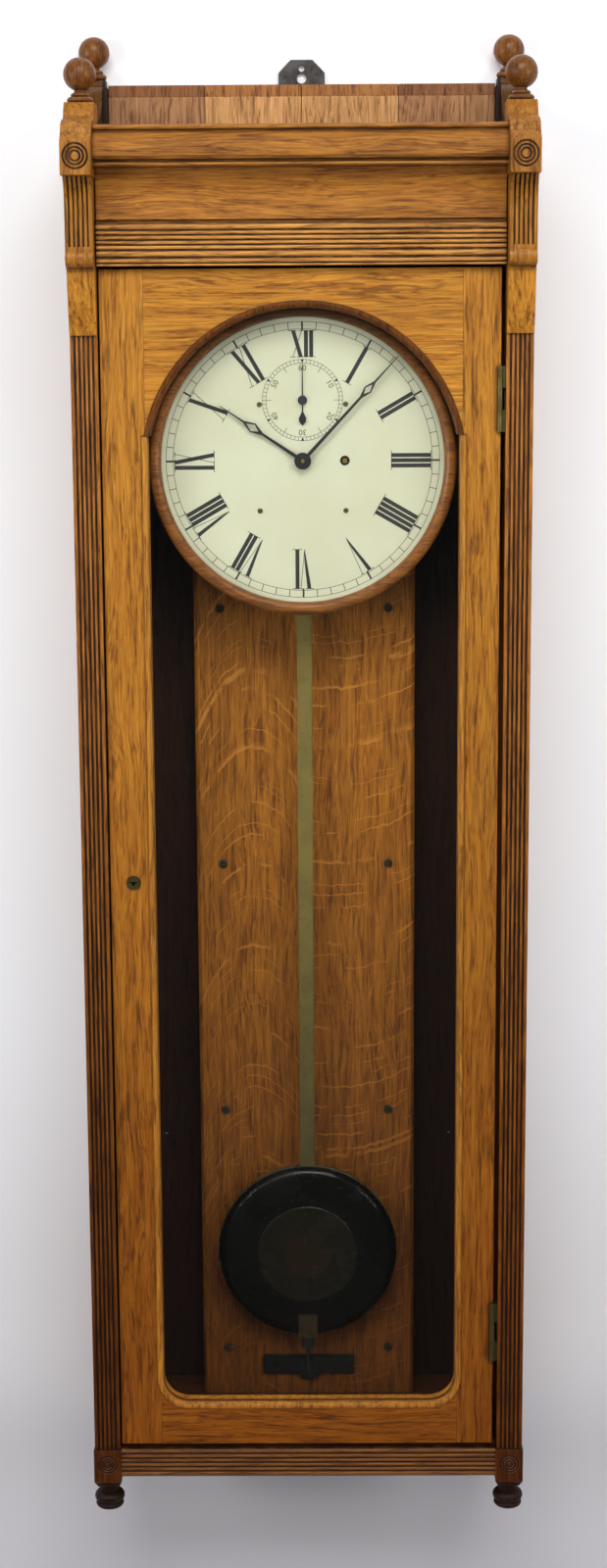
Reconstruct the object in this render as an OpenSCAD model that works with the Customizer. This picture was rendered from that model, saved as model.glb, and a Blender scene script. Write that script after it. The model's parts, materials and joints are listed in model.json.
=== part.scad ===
// Weight-driven regulator wall clock in an oak case, with a seconds pendulum.
// Origin: the hole of the hanger plate, in the plane of the wall.
// X to the right as seen from the front, Y into the wall, Z up.
// A depth is a distance in front of the wall, so a point at depth d has y = -d.

/* [Case] */
// Width over the fluted posts
case_w = 484; // [460:1:520]
// Wall to the front face of the posts
case_d = 200; // [194:1:230]
// Width of a fluted post
post_w = 28.7; // [24:0.1:36]
// Depth of a fluted post
post_t = 35; // [30:1:45]
// Thickness of the side boards
side_t = 18; // [12:1:24]
// How far the side boards stand in from the posts' outer faces
side_set = 6; // [2:1:8]
// Thickness of the back planks
back_t = 12; // [9:1:16]
// Number of back planks
planks = 4; // [3:1:6]
// Thickness of the top and bottom boards
board_t = 18; // [12:1:24]
// Hanger hole down to the centre of the dial
dial_drop = 423; // [400:1:450]
// Radius of the posts' grooves
flute_r = 1.2; // [1:0.1:1.6]

/* [Crown and base] */
// Height of the reeded rail above the door
reed_rail_h = 43; // [30:1:60]
// Height of the hollow frieze
frieze_h = 56; // [40:1:80]
// Height of the crown moulding
crown_h = 41.5; // [34:0.5:50]
// How far the crown moulding stands in front of the posts
crown_reach = 30; // [20:1:40]
// How far the bracket blocks stand in front of the posts
bracket_reach = 50; // [42:1:60]
// Crown top up to the top of the front pedestals
pedestal_h = 25; // [15:0.5:30]
// Crown top up to the top of the rear posts
rear_rise = 67.5; // [60:0.5:80]
// Crown top up to the top edge of the back planks
back_rise = 62.5; // [50:0.5:68]
// Height of the plain block under each bracket
wedge_h = 65.5; // [40:0.5:90]
// Height of the base blocks
base_h = 38.5; // [30:0.5:50]
// Diameter of the ball finials
ball_d = 34; // [24:1:40]
// Height of the bun feet
foot_h = 37; // [30:0.5:45]

/* [Door] */
// Dial centre up to the door's top edge
door_rise = 200; // [190:0.5:215]
// Dial centre down to the door's bottom edge
door_fall = 1105.5; // [1095:0.5:1160]
// Thickness of the door frame
door_t = 22; // [20:1:24]
// How far the door lies behind the front of the posts
door_set = 5; // [2:1:7]
// Width of the glazed opening
opening_w = 329; // [320:1:330]
// How far the opening stands to the right of the middle
opening_x = 1.4; // [0:0.1:2]
// Height of the bottom rail
bottom_rail_h = 49.5; // [40:0.5:70]
// Radius of the lower corners of the opening
corner_r = 29; // [10:1:50]
// Width of the moulding round the opening
bead_w = 7; // [6:0.5:10]
// Thickness of the glass
glass_t = 3; // [2:0.5:4]
// Height of a hinge
hinge_h = 68; // [40:1:90]
// Dial centre down to the lock
lock_drop = 453; // [350:1:600]
// Diameter of the lock barrel
lock_d = 14; // [10:1:18]

/* [Dial and hands] */
// Diameter of the dial plate
dial_d = 304.8; // [296:0.1:308]
// Thickness of the dial plate
dial_t = 1.2; // [0.8:0.1:1.5]
// Width of the wooden dial ring
ring_w = 13.3; // [11:0.1:15]
// Depth of the wooden dial ring
ring_t = 19.5; // [17:0.5:20]
// Length of the minute hand
minute_l = 150; // [110:1:152]
// Length of the hour hand
hour_l = 106; // [80:1:110]
// Length of the seconds hand
second_l = 40; // [25:1:42]
// Dial centre up to the seconds arbor
seconds_rise = 64; // [60:1:68]
// Dial centre across to the winding arbor
winding_x = 45; // [44.5:0.5:48]

/* [Movement] */
// Distance between the movement plates
plate_gap = 33; // [32:1:36]
// Thickness of the movement plates
plate_t = 3; // [2:0.5:4]
// Front plate to the back of the dial
dial_gap = 11; // [10.5:0.5:13]
// Seconds arbor up to the pallet arbor
pallet_rise = 28; // [26:0.5:30]
// Radius of the drum
drum_r = 16.5; // [12:0.5:18]
// Diameter of the cable
cable_d = 1.4; // [1:0.1:1.6]
// Radius of the running holes' pivots
pivot_r = 1; // [0.8:0.1:1.5]

/* [Pendulum] */
// Suspension point to the centre of the bob
pendulum_l = 1006; // [960:1:1010]
// Width of the rod
rod_w = 17; // [12:1:22]
// Thickness of the rod
rod_t = 8; // [5:1:10]
// Diameter of the bob
bob_d = 207; // [150:1:220]
// Thickness of the bob
bob_t = 34; // [26:1:40]
// Width of the board behind the pendulum
pend_board_w = 248; // [220:1:270]
// Thickness of the board behind the pendulum
pend_board_t = 14; // [10:1:18]

/* [Weight] */
// Width of the driving weight
weight_w = 140; // [90:1:150]
// Height of the driving weight
weight_h = 150; // [100:1:200]
// Radius of the weight's pulley at its cable
weight_pulley_r = 20; // [14:1:24]

/* [Hidden] */
$fn = 64;
// A cut passes this far beyond the faces that it goes through
cut = 1;
// Running clearance of a pivot in its hole
run = 0.05;
// Clearance between pieces that lie near each other
near = 0.4;

// Heights, from the hanger hole
dial_z = -dial_drop;
door_top = dial_z + door_rise;
door_bottom = dial_z - door_fall;
rail_bottom = door_top + 2.6;
frieze_bottom = rail_bottom + reed_rail_h;
crown_bottom = frieze_bottom + frieze_h;
crown_top = crown_bottom + crown_h;
bracket_top = crown_top + pedestal_h;
rear_top = crown_top + rear_rise;
planks_top = crown_top + back_rise;
wedge_top = rail_bottom - 5;
wedge_bottom = wedge_top - wedge_h;
base_top = door_bottom - 4.5;
base_bottom = base_top - base_h;
fascia_top = door_bottom - 3.6;
floor_top = door_bottom + 1.5;
floor_bottom = floor_top - board_t;
ceiling = crown_top - board_t;

// Half widths, from the middle
half_w = case_w / 2;
post_in = half_w - post_w;
block_over = 1.2;
side_out = half_w - side_set;
side_in = side_out - side_t;
post_mid = (post_in + half_w) / 2;
door_left = -post_in + 1.8;
door_right = post_in - 5;
opening_r = opening_w / 2;
joint_left = opening_x - opening_r - 2.5;
joint_right = opening_x + opening_r + 2.5;
opening_bottom = door_bottom + bottom_rail_h;
arch_z = dial_z - 4.4;
notch_z = dial_z + 28;

// Depths, from the wall
post_back = case_d - post_t;
door_front = case_d - door_set;
door_back = door_front - door_t;
fascia_back = door_back - 1;
rear_post_t = 24;
ring_front = door_back - 1.5;
ring_back = ring_front - ring_t;
dial_face = ring_front - 14.3;
dial_back = dial_face - dial_t;
dial_board_t = 12;
front_plate_d = dial_back - dial_gap;
train_front = front_plate_d - plate_t;
train_back = train_front - plate_gap;
back_plate_d = train_back - plate_t;
pend_d = back_plate_d - 16;
board_front = pend_d - bob_t / 2 - 7;
board_back = board_front - pend_board_t;
chute_t = board_back - back_t;
chute_mid = back_t + chute_t / 2;
pend_board_top = dial_z + dial_d * 0.41;

// Gear train: modules, teeth and centres in X and height above the dial's centre
great_m = winding_x / 52;
third_rise = 34.6;
centre_m = 0.9;
third_x = -sqrt(pow(45 * centre_m, 2) - pow(third_rise, 2));
escape_a = sqrt(pow(third_x, 2) + pow(seconds_rise - third_rise, 2));
third_m = escape_a / 42.5;
pallet_z = seconds_rise + pallet_rise;
escape_r = pallet_rise * 20 / 28;
motion_a = 21;
cannon_m = motion_a / 30;
hour_m = motion_a / 24;

// Places of the plates' pillars and of the dial's posts
plate_x = [-64, max(82, winding_x + 37)];
plate_z = [-66, pallet_z + 16];
pillar_x = [plate_x[0] + 8, plate_x[1] - 8];
pillar_z = [plate_z[0] + 8, plate_z[1] - 8];
post_x = 46;
post_z = [-53.2, 59.6];
pillar_r = 5;
stud_r = 3;

// Hands at seven minutes past ten
minute_turn = 42.9;
hour_turn = 303.6;
hour_hand_d = dial_face + 3.4;
minute_hand_d = hour_hand_d + 3.4;

// Hinges and lock
hinge_x = door_right - 1.3;
hinge_r = 2.9;
hinge_d = door_front + hinge_r + 0.5;
hinge_z = [dial_z + door_rise * 0.323, dial_z - door_fall * 0.878];
leaf_t = 1.2;
stile_w = joint_left - door_left;
lock_x = door_left + stile_w * 0.545;
lock_edge = door_left + stile_w * 0.736;
bolt_l = stile_w * 0.326;
lock_z = dial_z - lock_drop;
bolt_travel = 7;

// Cable, pulleys and weight
drum_x = winding_x + drum_r + cable_d / 2 + near;
drum_back = train_back + 2;
drum_front = train_front - 15;
lead_d = (drum_back + drum_front) / 2;
top_pulley_r = norm([drum_x - weight_pulley_r, lead_d - chute_mid]) / 2;
top_pulley_x = (drum_x + weight_pulley_r) / 2;
top_pulley_d = (lead_d + chute_mid) / 2;
top_pulley_turn = atan2(chute_mid - lead_d, drum_x - weight_pulley_r);
top_pulley_z = ceiling - top_pulley_r - 14;
weight_pulley_z = dial_z + dial_d * 0.328;
weight_t = chute_t - 10;
weight_top = weight_pulley_z - weight_pulley_r - 16;

// Solid between two depths, of an outline in X and Z
module deep(d0, d1) {
    translate([0, -d0, 0]) rotate([90, 0, 0]) linear_extrude(d1 - d0) children();
}

// Solid between two places in X, of an outline in depth and Z
module along(x0, x1) {
    translate([x0, 0, 0]) rotate([90, 0, 90]) linear_extrude(x1 - x0) mirror([1, 0]) children();
}

// Turned solid on an axis along Y at x, z, of an outline in radius and depth
module turned(x, z) {
    translate([x, 0, z]) rotate([90, 0, 0]) rotate_extrude($fn = 96) children();
}

// Round bar along Y at x, z between two depths
module bar(x, z, r, d0, d1) {
    translate([x, -d0, z]) rotate([90, 0, 0]) cylinder(r = r, h = d1 - d0);
}

// Rectangle between two corners
module rect(x0, y0, x1, y1) {
    translate([x0, y0]) square([x1 - x0, y1 - y0]);
}

// Box between two depths
module box(x0, x1, z0, z1, d0, d1) {
    deep(d0, d1) rect(x0, z0, x1, z1);
}

// Outline of a toothed wheel; fat and thin are half widths as shares of the pitch
function tooth(i, n, m, fat, thin) = let (p = 360 / n, r0 = m * n / 2 - 1.2 * m, r1 = m * n / 2 + 0.85 * m) [
    for (k = [[r0, -fat], [r1, -thin], [r1, thin], [r0, fat]])
        [k[0] * sin((i + k[1]) * p), k[0] * cos((i + k[1]) * p)]
];
function teeth(n, m, fat, thin) = [for (i = [0:n - 1]) each tooth(i, n, m, fat, thin)];

// Clockwise turn from upright that brings wheel b, of nb teeth, into mesh with wheel a, where
// b lies at the clockwise angle way from a, and a has na teeth and the turn ta
function mesh_turn(way, na, ta, nb) = way + 180 + (0.5 + (way - ta) * na / 360) * 360 / nb;

// Toothed wheel with spokes between two depths
module wheel(x, z, n, m, turn, d0, d1, bore, spokes) {
    rim = m * n / 2 - 1.2 * m - 2.2;
    translate([x, 0, z]) deep(d0, d1) rotate(-turn) difference() {
        union() {
            difference() {
                polygon(teeth(n, m, 0.27, 0.09));
                circle(r = rim);
            }
            circle(r = bore + 3.5);
            for (i = [0:spokes - 1]) rotate(i * 360 / spokes) rect(-1.6, 0, 1.6, rim + 0.5);
        }
        circle(r = bore);
    }
}

// Solid pinion between two depths
module pinion(x, z, n, m, turn, d0, d1) {
    translate([x, 0, z]) deep(d0, d1) rotate(-turn) polygon(teeth(n, m, 0.2, 0.12));
}

// Arbor with a pivot at each end that runs in the plates
module arbor(x, z, r) {
    bar(x, z, r, train_back + 0.5, train_front - 0.5);
    bar(x, z, pivot_r, back_plate_d, front_plate_d);
}

// Back planks
module back_planks() color("sienna") {
    w = 2 * post_in / planks;
    difference() {
        for (i = [0:planks - 1]) along(-post_in + i * w + 0.15, -post_in + (i + 1) * w - 0.15)
            polygon([[0, base_bottom + 3], [back_t, base_bottom + 3], [back_t, planks_top - 14],
                [back_t - 2, planks_top - 12], [back_t - 3, planks_top], [0, planks_top]]);
        box(-hanger_w / 2 - 0.2, hanger_w / 2 + 0.2, hanger_low - 0.2, planks_top + cut, -cut, hanger_t);
        for (p = hanger_holes) bar(p[0], p[1], 2, 0, back_t - 2);
        for (s = [-1, 1]) bar(s * steady_x, steady_z, steady_r, -cut, back_t + cut);
    }
}

// Hanger plate, its hole and screws, and the steady screws' holes
hanger_w = 51;
hanger_t = 3;
hanger_high = 9.5;
hanger_low = planks_top - 52;
hanger_hole_r = 3.2;
hanger_holes = [[-15, hanger_low + 32], [15, hanger_low + 32], [0, hanger_low + 10]];
steady_x = 168;
steady_z = dial_z - 800;
steady_r = 2.5;

module hanger_plate() color("dimgray") difference() {
    deep(0, hanger_t) difference() {
        polygon([[-hanger_w / 2, hanger_low], [hanger_w / 2, hanger_low], [hanger_w / 2, hanger_high - 14],
            [12, hanger_high], [-12, hanger_high], [-hanger_w / 2, hanger_high - 14]]);
        circle(r = hanger_hole_r);
        translate([0, -10.5]) circle(r = 5.2);
    }
    for (p = hanger_holes) bar(p[0], p[1], 2.2, -cut, hanger_t + cut);
    for (p = hanger_holes) turned(p[0], p[1]) polygon([[0, -0.2], [4.2, -0.2], [4.2, 0], [2.2, 2], [0, 2]]);
}

module hanger_screws() color("silver")
    for (p = hanger_holes) turned(p[0], p[1])
        polygon([[0, 0.1], [4, 0.1], [2, 2.1], [1.9, back_t - 3], [0, back_t - 2]]);

// Side board with its rear post, as an outline in depth and Z
module side_board(s) {
    x = [s * side_in, s * side_out];
    rear = [s * post_in, s * half_w];
    run_d = post_back - rear_post_t;
    low = crown_top + 8;
    along(min(x), max(x)) polygon([
        [rear_post_t - 1, base_bottom + 3], [post_back, base_bottom + 3], [post_back, low],
        for (t = [0:10:90]) [rear_post_t + run_d * (1 - sin(t)), low + (rear_top - 8 - low) * (1 - cos(t))],
    ]);
    along(min(rear), max(rear)) rect(0, base_bottom + 3, rear_post_t, rear_top - 8);
    along(min(rear) + 1.5, max(rear) - 1.5) polygon([[0, rear_top - 8], [rear_post_t, rear_top - 8],
        [rear_post_t - 3, rear_top - 6], [rear_post_t - 3, rear_top], [0, rear_top]]);
}
module side_left() color("peru") side_board(-1);
module side_right() color("peru") side_board(1);

// Fluted post, six reeds with five round grooves between them
module post(s) {
    difference() {
        translate([0, 0, base_top]) linear_extrude(wedge_bottom - base_top) difference() {
            rect(min(s * post_in, s * half_w), -case_d, max(s * post_in, s * half_w), -post_back);
            for (i = [1:5]) translate([s * (post_in + i * post_w / 6), 0.2 - case_d])
                circle(r = flute_r, $fn = 24);
        }
        if (s < 0) box(-post_in - bolt_travel - 2, -post_in + cut, lock_z - 7.5, lock_z + 7.5,
            door_back + 5, door_back + 13);
    }
}
module post_left() color("saddlebrown") post(-1);
module post_right() color("saddlebrown") post(1);

// Outline of a bracket's fluted hollow in depth and Z, from its top down, sunk by cut_in
hollow_top = bracket_top - 77;
roll_z = rail_bottom + 7.2;
roll_r = 9.4;
function hollow_edge(cut_in) = [for (t = [0:15:90])
    [case_d + 27 - cut_in + (bracket_reach - 33) * (1 - sin(t)), hollow_top - 34 * (1 - cos(t))]];

module bracket(s) {
    x = [s * post_in, s * half_w];
    wide = [min(x) - block_over, max(x) + block_over];
    top = bracket_top;
    reed = post_w / 6;
    clear_d = case_d + bracket_reach + cut;
    difference() {
        along(wide[0], wide[1]) polygon([[post_back, hollow_top], [post_back, top], [case_d - 4, top],
            [case_d + 3, top - 8], [case_d + 6, top - 15], [case_d + 13, top - 19],
            for (t = [20:20:80]) [case_d + 13 + (bracket_reach - 24) * sin(t), top - 19 - 14 * (1 - cos(t))],
            [case_d + bracket_reach - 11, top - 34], [case_d + bracket_reach, top - 44],
            [case_d + bracket_reach, hollow_top]]);
        for (r = [5.1, 8.6, 12.4]) turned(s * post_mid, top - 58.3)
            translate([r, case_d + bracket_reach]) circle(r = 1.1, $fn = 16);
    }
    difference() {
        along(min(x), max(x)) union() {
            polygon([[post_back, wedge_bottom], [case_d + 2.5, wedge_bottom], [case_d + 10, wedge_bottom + 24],
                [case_d + 16, wedge_top - 10], [case_d + 17, wedge_top - 0.4], [case_d + 19, wedge_top],
                [case_d + 19, roll_z - roll_r + 1], [case_d + 27, roll_z + roll_r - 2],
                each [for (i = [6:-1:0]) hollow_edge(0)[i]], [post_back, hollow_top]]);
            translate([case_d + 20.5, roll_z]) circle(r = roll_r);
        }
        for (i = [1:5]) along(min(x) + i * reed - 0.9, min(x) + i * reed + 0.9)
            polygon([[clear_d, roll_z + roll_r + 2], [case_d + 24, roll_z + roll_r + 2],
                each [for (i = [6:-1:0]) hollow_edge(3)[i]], [clear_d, hollow_top]]);
    }
}
module bracket_left() color("peru") bracket(-1);
module bracket_right() color("peru") bracket(1);

// Blocks with turned rings under the posts, tapered at the foot
base_reach = 3;
taper_h = 9.5;
foot_d = case_d - post_t / 2;
module base_blocks() color("saddlebrown") for (s = [-1, 1]) {
    x = [s * (post_in - block_over), s * (half_w + block_over)];
    difference() {
        box(min(x), max(x), base_bottom, base_top, post_back, case_d + base_reach);
        for (r = [3.6, 6.7, 9.8]) turned(s * post_mid, base_bottom + base_h / 2 + 1.6)
            translate([r, case_d + base_reach]) circle(r = 1.1, $fn = 16);
    }
    hull() {
        box(min(x), max(x), base_bottom, base_bottom + 0.5, post_back, case_d + base_reach);
        box(s * post_mid - 12, s * post_mid + 12, base_bottom - taper_h, base_bottom, foot_d - 12, foot_d + 12);
    }
}

// Bun feet with a lip at the bottom, under a neck
foot_r = 17;
bun_z = 12.2;
bun_roll = 6.4;
lip_roll = 3.4;
module bun_feet() color("saddlebrown") for (s = [-1, 1])
    translate([s * post_mid, -foot_d, base_bottom - foot_h]) rotate_extrude() {
        rect(0, 0, 10.5, foot_h - taper_h);
        rect(0, 0.2, foot_r - lip_roll - 1.2, 2 * lip_roll + 0.2);
        translate([foot_r - lip_roll - 1.2, lip_roll + 0.2]) circle(r = lip_roll);
        rect(0, bun_z - bun_roll, foot_r - bun_roll, bun_z + bun_roll);
        translate([foot_r - bun_roll, bun_z]) circle(r = bun_roll);
    }

// Turned ball finials on the pedestals and rear posts
finial_at = [for (s = [-1, 1], p = [[case_d - post_t / 2 - 1, bracket_top], [rear_post_t / 2 + 1, rear_top]])
    [s * post_mid, -p[0], p[1]]];
module ball_finials() color("sienna") for (p = finial_at) translate(p) rotate_extrude($fn = 72) difference() {
    union() {
        translate([0, 12 + ball_d / 2]) circle(d = ball_d);
        translate([10.5, 3]) circle(r = 3);
        rect(0, 0, 10.5, 6);
        translate([7.6, 8]) circle(r = 2.1);
        rect(0, 0, 7.6, 10.1);
        rect(0, 0, 6, 12 + ball_d / 2);
    }
    rect(-ball_d, -cut, 0, 60);
}

// Mouldings over the door
module crown_moulding() color("peru") {
    f = case_d + crown_reach;
    top = crown_top;
    low = crown_bottom;
    along(-post_in + block_over, post_in - block_over) {
        polygon([[fascia_back, low], [f - 8, low], [f - 8, low + 4], [f - 10, low + 4], [f - 10, low + 6.2],
            [f - 3, low + 6.8], [f, low + 10], [f, top - 16], [f - 5, top - 8.8], [f - 9, top - 8],
            [f - 9, top - 5.6], [f - 7.5, top - 5.6], [f - 7.5, top], [fascia_back, top]]);
        translate([f - 8, low + 2]) circle(r = 2, $fn = 32);
        translate([f - 7.5, top - 2.8]) circle(r = 2.8, $fn = 32);
    }
}
module frieze() color("peru") {
    drop = crown_bottom - frieze_bottom;
    low = frieze_bottom;
    along(-post_in + block_over, post_in - block_over)
        polygon([[fascia_back, low], [case_d - 1, low], [case_d - 1, low + 3.4], [case_d + 2.2, low + 4],
            [case_d + 2.2, low + 6.6], [case_d, low + 8], [case_d, low + drop * 0.4],
            for (t = [15:15:75]) [case_d + 12 * (1 - cos(t)), low + drop * (0.4 + 0.55 * sin(t))],
            [case_d + 12, crown_bottom - 2], [case_d + 12, crown_bottom], [fascia_back, crown_bottom]]);
}

// Reeds on a face at depth f, between the heights low and top; shares holds the grooves between them
reed_out = 2;
module reeds(f, low, top, shares) {
    edges = [for (share = [0, each shares, 1]) low + share * (top - low)];
    for (i = [1:len(edges) - 1]) {
        r = (edges[i] - edges[i - 1]) / 2 - 0.5;
        translate([f + reed_out - r, (edges[i] + edges[i - 1]) / 2]) circle(r = r, $fn = 32);
    }
}
module upper_reeded_rail() color("saddlebrown") {
    f = case_d + 4;
    along(-post_in + block_over, post_in - block_over) {
        rect(fascia_back, rail_bottom, f, frieze_bottom);
        rect(fascia_back, rail_bottom, f + reed_out, rail_bottom + 2);
        reeds(f, rail_bottom + 2.2, frieze_bottom, [0.146, 0.342, 0.465, 0.583, 0.71, 0.825]);
    }
}
module lower_reeded_rail() color("saddlebrown") {
    low = base_bottom + 6;
    along(-post_in + block_over, post_in - block_over) {
        rect(fascia_back, low, case_d, fascia_top);
        reeds(case_d, low, fascia_top, [0.2, 0.354, 0.513, 0.665, 0.829]);
    }
}

// Top and bottom boards, notched round the posts
module deck(z0, z1, corner) {
    translate([0, 0, z0]) linear_extrude(z1 - z0) difference() {
        rect(-side_in, -fascia_back, side_in, -back_t);
        for (s = [-1, 1]) rect(min(s * corner, s * (side_in + cut)), -fascia_back - cut,
            max(s * corner, s * (side_in + cut)), -post_back);
        for (s = [-1, 1]) rect(min(s * post_in, s * (side_in + cut)), -rear_post_t,
            max(s * post_in, s * (side_in + cut)), -back_t + cut);
    }
}
module top_board() color("peru") deck(ceiling, crown_top, post_in - block_over);
module bottom_board() color("peru") deck(floor_bottom, floor_top, post_in - block_over);

// Rails of the weight's chute and the board in front of it
rail_x = 94;
rail_w = 30;
bolt_z = [for (share = [0.151, 0.4155, 0.68, 0.945]) dial_z - share * door_fall];
module bolt_holes(d0, d1, r) for (s = [-1, 1], z = bolt_z) bar(s * rail_x, z, r, d0, d1);
module chute_rails() color("sienna") difference() {
    for (s = [-1, 1])
        box(s * rail_x - rail_w / 2, s * rail_x + rail_w / 2, floor_top, ceiling, back_t, board_back);
    bolt_holes(board_back - board_t - 2, board_back + cut, 2.6);
}
module pendulum_board() color("goldenrod") difference() {
    w = pend_board_w / 2;
    translate([0, 0, floor_top]) linear_extrude(pend_board_top - floor_top)
        polygon([[-w, -board_back], [-w, -board_front + 3], [-w + 4, -board_front], [w - 4, -board_front],
            [w, -board_front + 3], [w, -board_back]]);
    bolt_holes(board_back - cut, board_front + cut, 2.6);
}
module board_bolts() color("dimgray") for (s = [-1, 1], z = bolt_z) difference() {
    turned(s * rail_x, z) union() {
        rect(0, board_back - board_t, 2.5, board_front + 1);
        rect(0, board_front, 4.6, board_front + 2);
        rect(0, board_front + 1, 3.4, board_front + 3);
    }
    box(s * rail_x - 5, s * rail_x + 5, z - 0.5, z + 0.5, board_front + 2, board_front + 4);
}

// Dial, its ring and the board that carries the ring
ring_in = dial_d / 2 - 1.2;
ring_out = dial_d / 2 - 1.2 + ring_w;
module dial_ring() color("saddlebrown") turned(0, dial_z) difference() {
    union() {
        rect(ring_in, ring_back, ring_out, ring_front - ring_w / 2 + 1);
        translate([(ring_in + ring_out) / 2, ring_front - ring_w / 2]) circle(d = ring_w);
    }
    rect(ring_in - cut, ring_back - cut, dial_d / 2 + 0.3, dial_face);
}
module dial_board() color("sienna") deep(ring_back - dial_board_t, ring_back) difference() {
    union() {
        rect(-side_in, dial_z - 15, side_in, door_top - 2);
        translate([0, dial_z]) circle(r = ring_out - 4, $fn = 96);
    }
    translate([0, dial_z]) circle(r = ring_in - 11, $fn = 96);
}
module dial_plate() color("beige") deep(dial_back, dial_face) translate([0, dial_z]) difference() {
    circle(r = dial_d / 2, $fn = 128);
    circle(r = 5.6);
    translate([0, seconds_rise]) circle(r = 2.2);
    translate([winding_x, 0]) circle(r = 5.2);
    for (s = [-1, 1], z = post_z) translate([s * post_x, z]) circle(r = 1.3);
}
module dial_screws() color("goldenrod") for (s = [-1, 1], z = post_z) difference() {
    turned(s * post_x, dial_z + z) union() {
        rect(0, dial_back - 4, 1.2, dial_face + 0.5);
        rect(0, dial_face, 2.8, dial_face + 0.8);
    }
    box(s * post_x - 3, s * post_x + 3, dial_z + z - 0.3, dial_z + z + 0.3, dial_face + 0.4, dial_face + 2);
}

// Movement plates, pillars and the iron bracket that carries them
module plate(d0, d1) difference() {
    box(plate_x[0], plate_x[1], dial_z + plate_z[0], dial_z + plate_z[1], d0, d1);
    for (x = pillar_x, z = pillar_z) bar(x, dial_z + z, stud_r + run, d0 - cut, d1 + cut);
}
module front_plate() color("goldenrod") {
    difference() {
        plate(train_front, front_plate_d);
        for (p = [[third_x, third_rise], [0, pallet_z]])
            bar(p[0], dial_z + p[1], pivot_r + run, train_front - cut, front_plate_d + cut);
        bar(0, dial_z, 2 + run, train_front - cut, front_plate_d + cut);
        bar(0, dial_z + seconds_rise, 1.5 + run, train_front - cut, front_plate_d + cut);
        bar(winding_x, dial_z, 3.5 + run, train_front - cut, front_plate_d + cut);
    }
    bar(0, dial_z - motion_a, 1.5, front_plate_d - 0.5, front_plate_d + 7.5);
    for (s = [-1, 1], z = post_z) difference() {
        bar(s * post_x, dial_z + z, 4, front_plate_d - 0.5, dial_back);
        bar(s * post_x, dial_z + z, 1.25, dial_back - 5, dial_back + cut);
    }
}
module back_plate() color("goldenrod") difference() {
    plate(back_plate_d, train_back);
    for (p = [[0, 0], [third_x, third_rise], [0, seconds_rise], [winding_x, 0]])
        bar(p[0], dial_z + p[1], pivot_r + run, back_plate_d - cut, train_back + cut);
    bar(0, dial_z + pallet_z, 1.8 + run, back_plate_d - cut, train_back + cut);
}
module plate_pillars() color("goldenrod") for (x = pillar_x, z = pillar_z) turned(x, dial_z + z) union() {
    rect(0, train_back, pillar_r, train_front);
    rect(0, back_plate_d, stud_r, front_plate_d + 2.5);
    rect(0, front_plate_d, pillar_r, front_plate_d + 2.5);
}
module movement_bracket() color("dimgray") {
    z = [dial_z + plate_z[0], dial_z + plate_z[1]];
    box(plate_x[0], plate_x[1], z[0], z[1], board_front, board_front + 4);
    for (x = pillar_x, h = pillar_z) bar(x, dial_z + h, pillar_r + 1, board_front + 3, back_plate_d);
    difference() {
        box(-14, 14, dial_z + pallet_z + 1, z[1], board_front + 3, pend_d + rod_t / 2 + 1);
        box(-spring_w / 2 - 0.1, spring_w / 2 + 0.1, z[0], dial_z + pallet_z + 12, pend_d - 0.5, pend_d + 0.5);
    }
}

// Suspension spring: its clamped head is in the bracket's slot
spring_w = 10;
spring_t = 0.4;
module suspension_spring() color("silver")
    box(-spring_w / 2, spring_w / 2, dial_z + pallet_z - 12, dial_z + pallet_z + 0.8,
        pend_d - spring_t / 2, pend_d + spring_t / 2);

// Dark bar behind the pendulum's tip, with a round-ended plate at its middle
beat_z = dial_z + pallet_z - pendulum_l - bob_d / 2 - 47.5;
module beat_scale() color("black") difference() {
    union() {
        box(-53, 53, beat_z - 11, beat_z + 11, board_front, board_front + 5);
        deep(board_front, board_front + 6) {
            rect(-10, beat_z - 13, 10, beat_z + 2);
            rect(-5, beat_z - 18, 5, beat_z + 7);
            for (s = [-1, 1], z = [beat_z - 13, beat_z + 2]) translate([s * 5, z]) circle(r = 5);
        }
    }
    for (s = [-1, 1]) bar(s * 40, beat_z, 2.2, board_front + 3, board_front + 6);
    bar(0, beat_z - 2, 2.4, board_front + 4, board_front + 7);
    for (i = [-12:12])
        box(i * 2 - 0.3, i * 2 + 0.3, beat_z + 5, beat_z + 12, board_front + 4.4, board_front + 6);
}

// Swivelled frame under the top board that carries the large pulley, and the cable's anchor
pulley_t = 8;
module at_top_pulley()
    translate([top_pulley_x, -top_pulley_d, top_pulley_z]) rotate([0, 0, top_pulley_turn]) children();
module pulley_block() color("dimgray") {
    h = ceiling - top_pulley_z;
    at_top_pulley() {
        for (s = [-1, 1]) translate([-9, s * (pulley_t / 2 + 2.5) - 1.5, -9]) cube([18, 3, h + 9]);
        translate([-top_pulley_r * 0.45, -pulley_t / 2 - 4, h - 3]) cube([top_pulley_r * 0.9, pulley_t + 8, 3]);
        rotate([90, 0, 0]) cylinder(r = 3, h = pulley_t + 7, center = true);
    }
    translate([-weight_pulley_r, -chute_mid, top_pulley_z]) cylinder(r = 2.5, h = h);
    translate([-weight_pulley_r, -chute_mid, ceiling - 3]) cylinder(r = 8, h = 3);
}

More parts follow.
